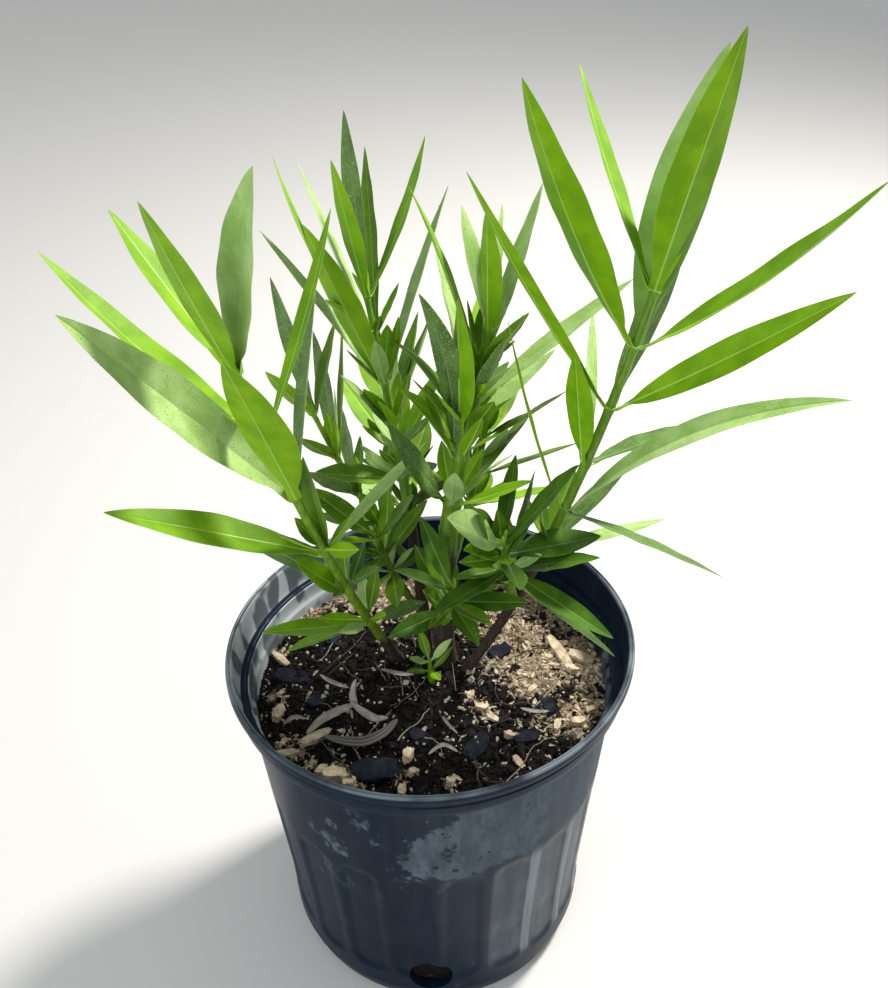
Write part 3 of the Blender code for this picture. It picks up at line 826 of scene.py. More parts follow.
def scatterRule(name):
    tree, given = newRule(name, {
        "Shapes": None,
        "Ground": "",
        "Per Square Metre": 1000.0,
        "Smallest": 1.0 * mm,
        "Largest": 4.0 * mm,
        "Tilt": 0.5,
        "Lift": 0.0,
        "Seed": 1,
    })
    seed, tilt = given["Seed"], given["Tilt"]
    density = named(tree, given["Ground"]) * given["Per Square Metre"]
    inputs = {"Mesh": given["Geometry"], "Density": density, "Seed": seed}
    spread = addNode(tree, "GeometryNodeDistributePointsOnFaces", inputs).outputs
    chance = output(tree, "FunctionNodeRandomValue", {"Seed": seed}, 1)
    size = ramp(chance.calc("POWER", 2.2), 0.0, 1.0, given["Smallest"], given["Largest"])
    low = combine(tree, tilt * -1.0, tilt * -1.0, 0.0)
    high = combine(tree, tilt, tilt, fullTurn)
    turned = output(tree, "FunctionNodeRandomValue", {0: low, 1: high, "Seed": 9}, data_type="FLOAT_VECTOR")
    euler = output(tree, "FunctionNodeEulerToRotation", (turned,))
    facing = output(
        tree, "FunctionNodeRotateRotation", (Value(spread["Rotation"]), euler), rotation_space="LOCAL"
    )
    inputs = {"Geometry": Value(spread["Points"]), "Offset": scaled(Value(spread["Normal"]), given["Lift"])}
    raised = output(tree, "GeometryNodeSetPosition", inputs)
    inputs = {"Collection": given["Shapes"], "Separate Children": True, "Reset Children": True}
    kit = output(tree, "GeometryNodeCollectionInfo", inputs)
    placed = output(tree, "GeometryNodeInstanceOnPoints", {
        "Points": raised,
        "Instance": kit,
        "Pick Instance": True,
        "Rotation": facing,
        "Scale": combine(tree, size, size, size),
    })
    return endRule(tree, placed, given["Material"])


# Loose pieces scattered on the bed, those on the pale ground partly painted as sunlit and those on the dark
# ground partly painted as shaded:
# (shapes, ground, per square metre, smallest and largest in mm, tilt, seed, light, shade)
scatters = {
    "pale_shreds": ("flakes", "paleTop", 105000.0, 2.2, 7.5, 0.7, 3, (0.66, 0.56, 0.42), (0.36, 0.28, 0.19)),
    "pale_crumbs": ("crumbs", "paleTop", 170000.0, 0.9, 3.2, 1.2, 5, (0.60, 0.50, 0.37), (0.30, 0.23, 0.15)),
    "tan_shreds": ("flakes", "paleTop", 60000.0, 2.5, 9.0, 0.8, 11, (0.36, 0.27, 0.18), (0.13, 0.09, 0.055)),
    "dark_flakes": (
        "flakes", "darkTop", 42000.0, 3.0, 12.0, 0.7, 17, (0.022, 0.019, 0.017), (0.005, 0.0045, 0.0045),
    ),
    "dark_crumbs": (
        "crumbs", "darkTop", 110000.0, 1.0, 4.0, 1.2, 23, (0.014, 0.0115, 0.010), (0.004, 0.0036, 0.0034),
    ),
    "light_bits": ("crumbs", "darkTop", 26000.0, 0.5, 2.8, 1.0, 31, (0.62, 0.58, 0.50), (0.28, 0.25, 0.20)),
    "light_slips": ("flakes", "darkTop", 17000.0, 1.5, 7.0, 0.9, 37, (0.62, 0.55, 0.44), (0.24, 0.20, 0.15)),
}
scatterLift = 0.2 * mm
flakeSizes = ((1.0, 0.42, 0.16), (1.0, 0.30, 0.12), (0.9, 0.6, 0.2), (1.1, 0.22, 0.14), (0.8, 0.5, 0.3))
crumbCount = 5


def scatterBark(bed):
    flakes = [chipShape("flake", *size, seed) for seed, size in enumerate(flakeSizes)]
    kits = {
        "flakes": shapeKit("flakes", flakes),
        "crumbs": shapeKit("crumbs", [crumbShape("crumb", seed) for seed in range(crumbCount)]),
    }
    rule = scatterRule("scatter_bark")
    for name, (kit, ground, density, smallest, largest, tilt, seed, light, shade) in scatters.items():
        settle(grow(bed, rule, {
            "Shapes": kits[kit],
            "Ground": ground,
            "Per Square Metre": density,
            "Smallest": smallest * mm,
            "Largest": largest * mm,
            "Tilt": tilt,
            "Lift": scatterLift,
            "Seed": seed,
            "Material": crumbFinish(name, light, shade),
        }, name))


def tubeRule(name):
    tree, given = newRule(name, {"Sides": 8, "Relief": 0.0, "Grain": 300.0})
    curve = output(tree, "GeometryNodeMeshToCurve", (given["Geometry"],))
    ring = output(tree, "GeometryNodeCurvePrimitiveCircle", {"Resolution": given["Sides"], "Radius": 1.0})
    inputs = {"Curve": curve, "Profile Curve": ring, "Scale": named(tree, "thick"), "Fill Caps": True}
    tube = output(tree, "GeometryNodeCurveToMesh", inputs)
    # Long shallow furrows, deepest where the stem is woody
    x, y, z = split(position(tree))
    inputs = {"Vector": combine(tree, x, y, z * 0.22), "Scale": given["Grain"], "Detail": 3.0}
    furrow = output(tree, "ShaderNodeTexNoise", inputs, "Fac")
    depth = (furrow - 0.5) * given["Relief"] * (named(tree, "woody") + 0.15)
    offset = scaled(output(tree, "GeometryNodeInputNormal"), depth)
    moved = output(tree, "GeometryNodeSetPosition", {"Geometry": tube, "Offset": offset})
    return endRule(tree, moved, given["Material"])


def tubesFrom(name, lines, rule, values):
    # lines: for each tube its points with thickness and woody share
    points, edges, thick, woody = [], [], [], []
    for line in lines:
        for index, (point, radius, bark) in enumerate(line):
            if index:
                edges.append((len(points) - 1, len(points)))
            points.append(point)
            thick.append(radius)
            woody.append(bark)
    made = meshObject(name, points, [], edges)
    setAttribute(made, "thick", thick)
    setAttribute(made, "woody", woody)
    return grow(made, rule, values)


# Thin dead roots and twigs that lie on the bark, in mm
strandSettings = {
    "count": 46,
    "length": (12.0, 58.0),
    "radius": (0.22, 0.75),
    "points": 16,
    "sides": 6,
    "startReach": 88,
    "endReach": 97,
    "lift": 2.2,
    "heading": 0.35,
    "woody": 0.3,
    "grain": 300.0,
    "palePart": 3,  # one in three is pale
}

# Dead fibres that stand up round the foot of the stems, in mm
fibreSettings = {"count": 16, "points": 10, "radius": 0.32, "height": (9, 26), "sag": 0.35, "woody": 0.2}

strandColours = {
    "pale_strands": ((0.34, 0.30, 0.24), (0.18, 0.15, 0.11)),
    "dark_strands": ((0.11, 0.085, 0.06), (0.045, 0.033, 0.022)),
}


def lyingStrand(rng):
    length = rng.uniform(*strandSettings["length"]) * mm
    radius = rng.uniform(*strandSettings["radius"]) * mm
    reach = strandSettings["startReach"] * mm * math.sqrt(rng.random())
    around = rng.uniform(0, fullTurn)
    heading = rng.uniform(0, fullTurn)
    x, y, _ = roundAbout(around, reach)
    count = strandSettings["points"]
    line = []
    for step in range(count):
        share = step / (count - 1)
        if math.hypot(x, y) > strandSettings["endReach"] * mm:
            break
        lift = radius + strandSettings["lift"] * mm * math.sin(math.pi * share) ** 2
        point = Vector((x, y, bedHeight(x, y) + lift))
        line.append((point, radius * (1 - 0.6 * share), strandSettings["woody"]))
        heading += rng.uniform(-strandSettings["heading"], strandSettings["heading"])
        x += math.cos(heading) * length / count
        y += math.sin(heading) * length / count
    return line


def standingFibre(rng):
    around = rng.uniform(0, fullTurn)
    x = math.cos(around) * rng.uniform(14, 34) * mm
    y = 4 * mm + math.sin(around) * rng.uniform(10, 30) * mm
    base = Vector((x, y, 0))
    base.z = bedHeight(base.x, base.y)
    lean = Vector((rng.uniform(-0.8, 0.8), rng.uniform(-0.8, 0.8), 1.0)).normalized()
    tall = rng.uniform(*fibreSettings["height"]) * mm
    sag = Vector((rng.uniform(-1, 1), rng.uniform(-1, 1), -0.6)) * tall * fibreSettings["sag"]
    line = []
    for step in range(fibreSettings["points"]):
        share = step / (fibreSettings["points"] - 1)
        radius = fibreSettings["radius"] * mm * (1 - 0.65 * share)
        line.append((base + lean * tall * share + sag * share * share, radius, fibreSettings["woody"]))
    return line


def makeStrands(rule):
    rng = random.Random("strands")
    groups = {name: [] for name in strandColours}
    for index in range(strandSettings["count"]):
        line = lyingStrand(rng)
        if len(line) > 3:
            groups["dark_strands" if index % strandSettings["palePart"] else "pale_strands"].append(line)
    groups["pale_strands"] += [standingFibre(rng) for _ in range(fibreSettings["count"])]
    for name, colours in strandColours.items():
        settle(tubesFrom(name, groups[name], rule, {
            "Sides": strandSettings["sides"],
            "Relief": 0.0,
            "Grain": strandSettings["grain"],
            "Material": crumbFinish(name, *colours),
        }), 60)


# Bigger loose pieces: light, shade and rows of x, y, length, width, thickness, turn, tilt and lift,
# in mm and degrees
bigChips = {
    "straw": ((0.68, 0.58, 0.43), (0.38, 0.29, 0.18), (
        (-65, -44, 22, 7.0, 3.0, 40, 14, 3.5), (77, 17, 32, 7.0, 2.4, -66, 8, 3.5),
        (89, 16, 17, 8.5, 4.0, -16, 12, 3.5), (84, 6, 10, 6.0, 4.0, 40, 12, 3.0),
        (23, 3, 15, 4.5, 3.0, 72, 24, 3.5), (28, -26, 9, 5.5, 4.5, 30, 20, 3.5),
        (22, -18, 7, 4.5, 3.5, 80, 20, 3.0), (34, -34, 7, 4.0, 3.0, -30, 20, 2.5),
        (-13, -59, 14, 6.5, 5.0, 78, 22, 4.0), (-10, -70, 9, 5.5, 4.0, 55, 22, 3.0),
        (10, -74, 12, 5.5, 4.0, 80, 24, 3.5), (-16, -80, 12, 5.0, 3.5, 85, 20, 3.0),
        (82, -34, 9, 5.0, 4.0, 10, 15, 3.0), (70, -38, 8, 4.5, 3.5, 80, 15, 3.0),
        (91, -24, 9, 4.0, 3.5, 30, 15, 3.0), (-52, -74, 15, 9.0, 7.0, 20, 12, 5.0),
        (-44, -77, 12, 8.0, 6.0, 85, 12, 4.5), (-60, -67, 9, 5.0, 4.0, 60, 10, 3.5),
        (-80, -53, 15, 5.5, 3.5, 15, 12, 3.0), (-88, -24, 10, 7.0, 5.0, 70, 14, 3.5),
        (-92, 20, 15, 5.0, 3.0, -40, 10, 3.0), (58, -12, 10, 4.0, 3.0, 60, 10, 3.0),
        (43, -46, 8, 5.0, 4.0, 20, 15, 3.0), (47, -62, 9, 4.5, 3.5, -50, 15, 3.0),
    )),
    "slate": ((0.018, 0.023, 0.036), (0.006, 0.008, 0.013), (
        (-83, 4, 22, 13.0, 5.0, -8, 8, 3.0), (40, 17, 14, 11.0, 6.0, 30, 8, 3.5),
        (-30, -68, 30, 17.0, 5.0, 8, 8, 2.5), (-60, 34, 15, 8.0, 4.0, 70, 8, 2.0),
        (-66, -14, 15, 10.0, 3.0, 50, 8, 2.0), (-6, -47, 14, 9.0, 3.5, -30, 8, 2.0),
        (52, -46, 16, 9.0, 4.0, 20, 8, 2.0), (24, -54, 20, 12.0, 5.0, 60, 8, 2.0),
        (66, -24, 14, 8.0, 4.0, 110, 8, 2.0),
    )),
}


def makeBigChips():
    seed = 0
    for finish, (light, shade, rows) in bigChips.items():
        joined = bmesh.new()
        for x, y, length, width, thick, turn, tilt, lift in rows:
            chip = chipShape("chip", 1.0, width / length, thick / length, seed, 3)
            seed += 1
            place = onBed(x, y, lift * 0.4)
            turned = Matrix.Rotation(math.radians(turn), 4, "Z") @ Matrix.Rotation(math.radians(tilt), 4, "Y")
            chip.data.transform(Matrix.Translation(place) @ turned @ Matrix.Scale(length * mm, 4))
            joined.from_mesh(chip.data)
            bpy.data.objects.remove(chip)
        name = "bark_" + finish
        made = addToScene(name, meshFrom(name, joined))
        made.data.materials.append(crumbFinish(name, light, shade, 240.0))
        settle(made, 40)


# Dry curled leaves on the bark: path of (x, y, height above the bed), full width, cup, side lean, paleness
dryLeaves = (
    (((-70, -43, 4), (-62, -36, 6), (-52, -31, 7), (-43, -28, 8)), 5.0, 0.5, 25, 0.6),
    (((-60, -45, 3), (-49, -50, 4), (-37, -52, 4), (-26, -48, 4), (-19, -39, 6)), 8.5, 0.45, -12, 0.05),
    (((-43, -16, 15), (-44, -24, 9), (-42, -30, 6)), 4.5, 0.8, 35, 1.0),
    (((-46, -27, 8), (-38, -33, 7), (-31, -38, 6), (-24, -41, 9)), 4.5, 0.7, 30, 0.7),
    (((-66, 2, 3), (-60, -5, 5), (-54, -10, 5), (-48, -11, 3)), 2.8, 0.6, 10, 0.4),
    (((-84, -34, 3), (-78, -30, 4), (-71, -31, 3)), 2.8, 0.5, 20, 0.3),
    (((4, -32, 3), (8, -40, 4), (14, -46, 3)), 2.4, 0.6, -20, 0.3),
    (((-30, 2, 3), (-20, -4, 5), (-10, -4, 3)), 2.6, 0.6, 20, 0.4),
    (((50, -28, 3), (58, -31, 4), (66, -30, 3)), 2.6, 0.5, 10, 0.4),
    (((-2, -60, 3), (6, -56, 5), (14, -58, 3)), 2.6, 0.5, 10, 0.7),
)
dryLeafShape = {"steps": 28, "columns": 9, "thick": 0.5 * mm}


def smoothPath(stations, share):
    place = share * (len(stations) - 1)
    index = min(int(place), len(stations) - 2)
    part = place - index
    before, start = stations[max(index - 1, 0)], stations[index]
    end, after = stations[index + 1], stations[min(index + 2, len(stations) - 1)]
    return start + 0.5 * part * ((end - before) + part * (
        2 * before - 5 * start + 4 * end - after + part * (3 * (start - end) + after - before)))


def thinSkin(first, rows, count):
    # Faces of a thin blade, as (corners, row, column). Each row holds its upper points and then its lower
    # ones. The faces along the edges and at the ends have no column.
    ring = 2 * count
    skin = []
    for row in range(rows):
        low, high = first + row * ring, first + (row + 1) * ring
        for column in range(count - 1):
            here, ahead = low + column, high + column
            skin.append(((here, here + 1, ahead + 1, ahead), row, column))
            here, ahead = here + count, ahead + count
            skin.append(((here + 1, here, ahead, ahead + 1), row, column))
        for column, turned in ((0, False), (count - 1, True)):
            here, ahead = low + column, high + column
            corners = (here + count, here, ahead, ahead + count)
            skin.append((turnedOver(corners) if turned else corners, row, None))
    for start, turned in ((first, False), (first + rows * ring, True)):
        for here in range(start, start + count - 1):
            corners = (here + count, here + count + 1, here + 1, here)
            skin.append((turnedOver(corners) if turned else corners, None, None))
    return skin


def makeDryLeaves(material):
    points, faces, places, bleached = [], [], [], []
    steps, columns = dryLeafShape["steps"], dryLeafShape["columns"]
    for path, width, cup, lean, paleness in dryLeaves:
        stations = [onBed(*place) for place in path]
        first = len(points)
        for step in range(steps + 1):
            share = step / steps
            here = smoothPath(stations, share)
            ahead, behind = (smoothPath(stations, within(share + away)) for away in (0.02, -0.02))
            forward = (ahead - behind).normalized()
            side = forward.cross(up).normalized()
            side = Matrix.Rotation(math.radians(lean), 3, forward) @ side
            face = side.cross(forward)
            half = max(0.04, math.sin(math.pi * share) ** 0.6) * 0.5 * width * mm
            for lower in (1, -1):
                for column in range(columns):
                    across = 2 * column / (columns - 1) - 1
                    bent = math.sin(across * (1 + cup)) / math.sin(1 + cup)
                    ripple = 0.04 * math.sin(across * 17) * (1 - share)
                    thick = 0.5 * lower * dryLeafShape["thick"] * (1 - 0.7 * across ** 2)
                    lift = half * (cup * across ** 2 + ripple) + thick
                    points.append(here + side * half * bent + face * lift)
                    places.append((share, across))
                    bleached.append(paleness)
        faces += [mirrored(corners) for corners, _, _ in thinSkin(first, steps, columns)]
    made = meshObject("dry_leaves", points, faces)
    made.data.materials.append(material)
    setBladeMap(made, places)
    setAttribute(made, "bleached", bleached)
    settle(made, 50)


# Stems and leaves. Each shoot follows one bent line: base or fork, bend and tip, in mm. thick is the radius
# at both ends, leafy the place where leaves begin, and bark the place where cork gives way to green.
# A whorl holds its place, the kinds of its first leaves, and the leaves that are listed one by one: turn
# about the stem, opening, length, width, roll and bend. The rule in whorlLeaves fills each whorl up to three.


def shoot(**values):
    return {"base": None, "fork": None, "parent": None, "bark": 0.1, **values}


shoots = {
    "tall_right": shoot(
        base=(20, 3), bend=(68, -24, 300), tip=(106, 4, 430), thick=(2.8, 2.2), leafy=0.39, bark=0.42,
        opening=(35, 65), length=(110, 70),
        whorls=(
            (1.0, "bbd", (255, 25, 125, 25, 40, -20), (130, 45, 120, 20, 15, -10), (85, 15, 100, 19, -75, 0)),
            (0.9, "bbs", (210, 45, 145, 25, 10, -15), (320, 35, 130, 26, 30, -25), (85, 20, 145, 31, -35, 0)),
            (0.78, "bbd", (310, 40, 130, 16, 75, -5), (210, 50, 155, 16, 5, -10), (70, 50, 95, 18, -50, 0)),
            (0.66, "bdp", (210, 30, 70, 16, 20, 0), (30, 70, 70, 17, -20, 0), (95, 55, 90, 14, 40, 0)),
            (0.55, "pbd", (325, 35, 155, 18, 30, 35), (195, 35, 120, 11, -5, -10), (320, 75, 85, 12, -5, 0)),
            (0.44, "pdm", (25, 75, 75, 14, -25, -8), (50, 55, 70, 14, -35, -8), (75, 60, 50, 12, -30, -8)),
        ),
    ),
    "front_left": shoot(
        base=(-19, 13), bend=(-48, -48, 300), tip=(-72, -82, 438), thick=(2.6, 1.7), leafy=0.20, bark=0.16,
        opening=(30, 75), length=(100, 50),
        whorls=(
            (1.00, "bpb", (275, 10, 95, 19, -35, -10), (0, 20, 95, 21, 45, 10), (130, 50, 80, 22, 45, -20)),
            (0.87, "bbm", (140, 65, 135, 23, 45, -55), (65, 60, 100, 11, -30, -15), (310, 10, 25, 9, 50, 0)),
            (0.72, "pbd", (170, 25, 130, 24, -5, 0), (295, 5, 100, 24, -40, 0), (80, 65, 120, 20, -50, 0)),
            (0.55, "bmp", (190, 45, 105, 20, 5, 0), (50, 10, 65, 17, -5, 0), (50, 90, 75, 12, -30, 0)),
            (0.40, "bdm", (190, 15, 45, 14, -10, -8), (150, 70, 85, 18, 35, 0), (100, 95, 30, 13, -35, -8)),
            (0.25, "bdm", (200, 50, 60, 15, 25, -8), (20, 100, 30, 12, -20, -8), (190, 100, 50, 14, 35, -8)),
        ),
    ),
    "back_left": shoot(
        base=(-3, 22), bend=(-5, -12, 300), tip=(-29, 45, 409), thick=(3.5, 1.5), leafy=0.55, bark=0.52,
        opening=(30, 70), length=(95, 50),
        whorls=(
            (1.00, "dbb", (75, 15, 100, 14, -30, 5), (270, 35, 75, 14, -45, -10), (35, 35, 95, 16, -5, -15)),
            (0.91, "mbp", (75, 25, 110, 15, -35, 0), (135, 25, 115, 13, 35, -40), (115, 30, 115, 15, 50, -8)),
            (0.82, "ppb", (50, 40, 120, 19, -25, 0), (145, 35, 105, 18, 25, -5), (235, 20, 90, 18, 10, 0)),
            (0.72, "ppb", (240, 40, 50, 12, -55, -8), (80, 45, 60, 13, -50, 0), (265, 45, 30, 11, -35, -8)),
            (0.60, "mdd", (215, 65, 50, 16, -25, -8), (130, 80, 30, 13, 10, -8), (50, 100, 25, 13, 15, -8)),
        ),
    ),
    "centre": shoot(
        base=(8, 10), bend=(2, -14, 300), tip=(31, 5, 410), thick=(6.4, 2.4), leafy=0.53, bark=0.44,
        opening=(30, 65), length=(80, 60),
        whorls=(
            (1.00, "bpp", (240, 30, 70, 17, -25, 0), (120, 45, 65, 16, 25, 0), (95, 45, 70, 17, 65, -10)),
            (0.92, "mpb", (290, 35, 50, 14, 20, 0), (75, 30, 95, 17, -55, -20), (145, 40, 90, 13, 20, 10)),
            (0.84, "ppd", (30, 50, 100, 16, -15, 0), (115, 50, 90, 17, 35, 5), (290, 20, 45, 15, 35, 0)),
            (0.77, "bmp", (220, 15, 75, 22, -10, 0), (130, 65, 65, 16, 20, 40), (50, 65, 70, 16, -30, 0)),
            (0.70, "ddb", (200, 20, 95, 16, 35, 30), (330, 35, 65, 16, 30, 5), (195, 40, 50, 16, -10, 30)),
            (0.58, "dbm", (195, 35, 60, 16, -35, -8), (335, 50, 45, 14, 5, -8), (60, 70, 75, 17, -40, -8)),
        ),
    ),
    "inner_left": shoot(
        fork=0.33, parent="back_left", bend=(-32, 14, 290), tip=(-59, 30, 350), thick=(2.1, 1.3), leafy=0.30,
        opening=(35, 70), length=(60, 45),
        whorls=(
            (1.00, "bdm", (250, 30, 40, 12, -10, -8), (85, 30, 80, 15, -35, -8), (60, 55, 60, 14, -15, -8)),
            (0.80, "dbm", (80, 45, 80, 14, -30, -8), (60, 45, 80, 14, -30, -8), (250, 40, 30, 11, -5, -8)),
            (0.60, "mdd", (305, 40, 25, 11, 25, -8), (240, 35, 35, 12, 10, -8), (85, 55, 65, 14, -35, -8)),
            (0.38, "dmd", (150, 60, 40, 11, 0, -8), (60, 65, 65, 13, -5, -8), (245, 45, 35, 10, 5, -8)),
        ),
    ),
    "front_right": shoot(
        fork=0.28, parent="tall_right", bend=(40, -24, 285), tip=(37, -36, 316), thick=(2.4, 1.6), leafy=0.36,
        opening=(50, 80), length=(55, 50),
        whorls=(
            (0.97, "epe", (80, 85, 50, 16, -55, -8), (185, 35, 40, 21, 0, -8), (20, 40, 60, 20, -35, -8)),
            (0.80, "ebee",
             (15, 100, 50, 20, -15, -8), (195, 45, 25, 14, 15, -8),
             (285, 60, 30, 14, -40, -8), (140, 20, 35, 15, 30, -8)),
            (0.60, "eee", (225, 60, 55, 15, 25, -8), (315, 75, 70, 13, -20, -8), (350, 65, 50, 16, -30, -8)),
            (0.42, "eme", (315, 80, 70, 13, -55, -8), (200, 35, 30, 10, 25, -8), (75, 90, 65, 12, -55, -8)),
        ),
    ),
    "back_right": shoot(
        fork=0.30, parent="centre", bend=(24, 30, 290), tip=(34, 50, 345), thick=(2.5, 1.5), leafy=0.35,
        opening=(30, 75), length=(62, 55), whorls=((1.00, ""), (0.82, ""), (0.64, ""), (0.48, "")),
    ),
    "back": shoot(
        fork=0.25, parent="back_left", bend=(-12, 38, 280), tip=(-20, 58, 330), thick=(2.5, 1.5), leafy=0.38,
        opening=(30, 75), length=(62, 55), whorls=((1.00, ""), (0.82, ""), (0.64, ""), (0.50, "")),
    ),
    "front_middle": shoot(
        fork=0.17, parent="centre", bend=(10, -32, 262), tip=(12, -35, 286), thick=(2.2, 1.5), leafy=0.42,
        opening=(50, 80), length=(42, 38), whorls=((1.00, "ebe"), (0.78, "eme"), (0.58, "eme")),
    ),
    "low_left": shoot(
        fork=0.15, parent="back_left", bend=(-22, 4, 262), tip=(-27, -6, 297), thick=(2.2, 1.4), leafy=0.42,
        opening=(35, 75), length=(48, 40), whorls=((1.00, ""), (0.78, ""), (0.58, "")),
    ),
    "foot": shoot(
        base=(0, -6), bend=(-1, -8, 202), tip=(-1, -11, 211), thick=(1.5, 1.1), leafy=0.0, bark=0.0,
        opening=(40, 60), length=(20, 16), whorls=((1.00, ""), (0.50, "")),
    ),
}

stemSettings = {
    "start": 189.3 * mm,
    "taper": 1.6,
    "flare": 0.18,
    "flareHeight": 14.0 * mm,
    "sink": 3.0 * mm,
    "sunkWidth": 1.25,
    "points": 150,
    "boughPoints": 100,
    "sides": 22,
    "lengthSteps": 24,
    "nodeSwell": 0.20,
    "scarSwell": 0.55,  # of a node's
    "scarCount": 5,
    "scarSpacing": (0.07, 0.10),
    "nodeLength": 2.2 * mm,
    "groove": 0.06,
    "barkEdge": 26,
    "boughBark": 0.25,
    "tipLength": 0.8 * mm,
    "relief": 1.5 * mm,
    "grain": 520.0,
}

bladeSettings = {
    "steps": 34,
    "columns": (0.0, 0.26, 0.5, 0.74, 0.92, 1.0),
    "crowding": 0.55,  # how far the steps crowd towards the foot and tip
    "foot": 0.06,
    "footWidth": 0.26,
    "tipWidth": 0.012,
    "belly": 0.9,
    "fullness": 0.8,
    "bend": -8,
    "sag": 0.04,
    "rollRise": 7,
    "breadth": 0.29,
    "thick": 0.42 * mm,
    "petioleLength": 0.11,
    "petioleThick": 1.5 * mm,
    "ribWidth": 1.15 * mm,
    "ribHeight": 0.55 * mm,
    "furrow": 0.10 * mm,
    "fold": 0.20,
    "wave": 0.014,
    "farWave": 1.9,  # how much later the waves come on the second side
    "drift": 0.012,
    "twist": 7,
    "dryFoot": 0.08,
    "perWhorl": 3,
    "turnSpread": 8,
    "openingSpread": 5,
    "lengthSpread": (0.88, 1.05),
}

axilSettings = {
    "perWhorl": 5,
    "length": (13, 34),
    "opening": (22, 58),
    "breadth": (0.26, 0.34),
    "bend": -14,
    "spread": 25,
    "rise": 0.03,
    # Axil leaves above the height high take lighter kinds and lower ones darker kinds: painted light high up,
    # painted shade low down
    "highKinds": ("bright", "bright", "young", "mid", "pale"),
    "lowKinds": ("bright", "mid", "mid", "deep", "pale"),
    "high": 300 * mm,
    "highest": {"tall_right": 0.5, "front_left": 0.6},
}

tipSettings = {"count": 4, "length": 0.17, "step": 97, "breadth": 0.26, "roll": 20, "bend": -12, "fold": 0.8}

# The places that the rule tries for a leaf, and where it looks for the solid leaf
nudges = (0, 5, -5, 10, -10, 16, -16)
wideNudges = (0, 8, -8, 18, -18, 30, -30, 46, -46)
shorter = (1.0, 0.82, 0.66)
solidStops = (0.0, 0.14, 0.32, 0.52, 0.72, 0.88, 1.0)
solidReach = (0.010, 0.25)  # share of the leaf's length, and mm


def shootLine(name):
    made = shoots[name]
    if made["parent"]:
        start = linePoint(shootLine(made["parent"]), made["fork"])
    else:
        start = Vector((made["base"][0] * mm, made["base"][1] * mm, stemSettings["start"]))
    return start, Vector(made["bend"]) * mm, Vector(made["tip"]) * mm


def linePoint(line, along):
    start, bend, tip = line
    rest = 1 - along
    return start * rest * rest + bend * (2 * rest * along) + tip * (along * along)


def lineDirection(line, along):
    start, bend, tip = line
    return ((bend - start) * (1 - along) + (tip - bend) * along).normalized()


def limbRadius(name, along):
    low, high = shoots[name]["thick"]
    return mm * (low + (high - low) * along ** stemSettings["taper"])


def lineLength(line):
    steps = stemSettings["lengthSteps"]
    stops = [linePoint(line, step / steps) for step in range(steps + 1)]
    return sum((after - before).length for before, after in zip(stops, stops[1:]))


def stemStations(name):
    made = shoots[name]
    rooted = made["parent"] is None
    line = shootLine(name)
    length = lineLength(line)
    rng = random.Random(name + " bark")
    count = stemSettings["points"] if rooted else stemSettings["boughPoints"]
    places = [whorl[0] for whorl in made["whorls"]]
    scarSteps = range(1, stemSettings["scarCount"] + 1)
    scars = [min(places) - step * rng.uniform(*stemSettings["scarSpacing"]) for step in scarSteps]
    rows = []
    if rooted:
        sunk = line[0] - up * stemSettings["sink"]
        rows.append((sunk, limbRadius(name, 0.0) * stemSettings["sunkWidth"], 1.0))
    for step in range(count + 1):
        along = step / count
        point = linePoint(line, along)
        radius = limbRadius(name, along)
        if rooted:
            height = (point.z - line[0].z) / stemSettings["flareHeight"]
            radius *= 1 + stemSettings["flare"] * max(0.0, 1 - height)
        for place in places + scars:
            away = (along - place) * length / stemSettings["nodeLength"]
            swell = stemSettings["nodeSwell"] * (1.0 if place in places else stemSettings["scarSwell"])
            groove = stemSettings["groove"] * math.exp(-((away - 1.3) * 2.2) ** 2)
            radius *= 1 + swell * math.exp(-away * away) - groove
        woody = 0.0
        if made["bark"]:
            woody = 1 / (1 + math.exp((along - made["bark"]) * stemSettings["barkEdge"]))
        if not rooted:
            woody = max(woody, stemSettings["boughBark"] * (1 - along))
        rows.append((point, radius, woody))
    point, radius, woody = rows[-1]
    rows.append((point + lineDirection(line, 1.0) * stemSettings["tipLength"], radius * 0.5, woody))
    return rows


def makeStems(rule, material):
    values = {
        "Sides": stemSettings["sides"],
        "Relief": stemSettings["relief"],
        "Grain": stemSettings["grain"],
        "Material": material,
    }
    for name, made in shoots.items():
        stem = tubesFrom("shoot_" + name, [stemStations(name)], rule, values)
        if made["leafy"] == 0.0:
            settle(stem, 60)
        elif made["parent"]:
            settle(stem, 60, "bough_" + name)
        else:
            settle(stem, 60, "stem_" + name)


def bladeHalf(share):
    # Half the width as a share of the full width: narrow foot, long point
    foot, footWidth = bladeSettings["foot"], bladeSettings["footWidth"]
    if share <= foot:
        return 0.5 * footWidth
    rise = math.sin(math.pi * ((share - foot) / (1 - foot)) ** bladeSettings["belly"])
    footPart = footWidth * max(0.0, 1 - 3 * (share - foot))
    return 0.5 * max(footPart, bladeSettings["tipWidth"], rise ** bladeSettings["fullness"])


def leafFrame(line, along, leaf):
    stem = lineDirection(line, along)
    level = Vector((1.0, 0.0, 0.0))
    level = (level - stem * level.dot(stem)).normalized()
    turn = math.radians(leaf[0])
    return stem, level * math.cos(turn) + stem.cross(level) * math.sin(turn)


def leafCentres(line, along, radius, leaf, stops):
    # The middle line of a blade: it leaves the stem at its opening, bends on the way and sags a little
    stem, outward = leafFrame(line, along, leaf)
    opening, length, bend = math.radians(leaf[1]), leaf[2] * mm, math.radians(leaf[5])
    points = [linePoint(line, along) + outward * radius]
    for before, share in zip(stops, stops[1:]):
        middle = 0.5 * (before + share)
        angle = opening + bend * (middle - 0.5)
        step = stem * math.cos(angle) + outward * math.sin(angle)
        step = (step - up * (bladeSettings["sag"] * middle ** 1.5)).normalized()
        points.append(points[-1] + step * length * (share - before))
    return points


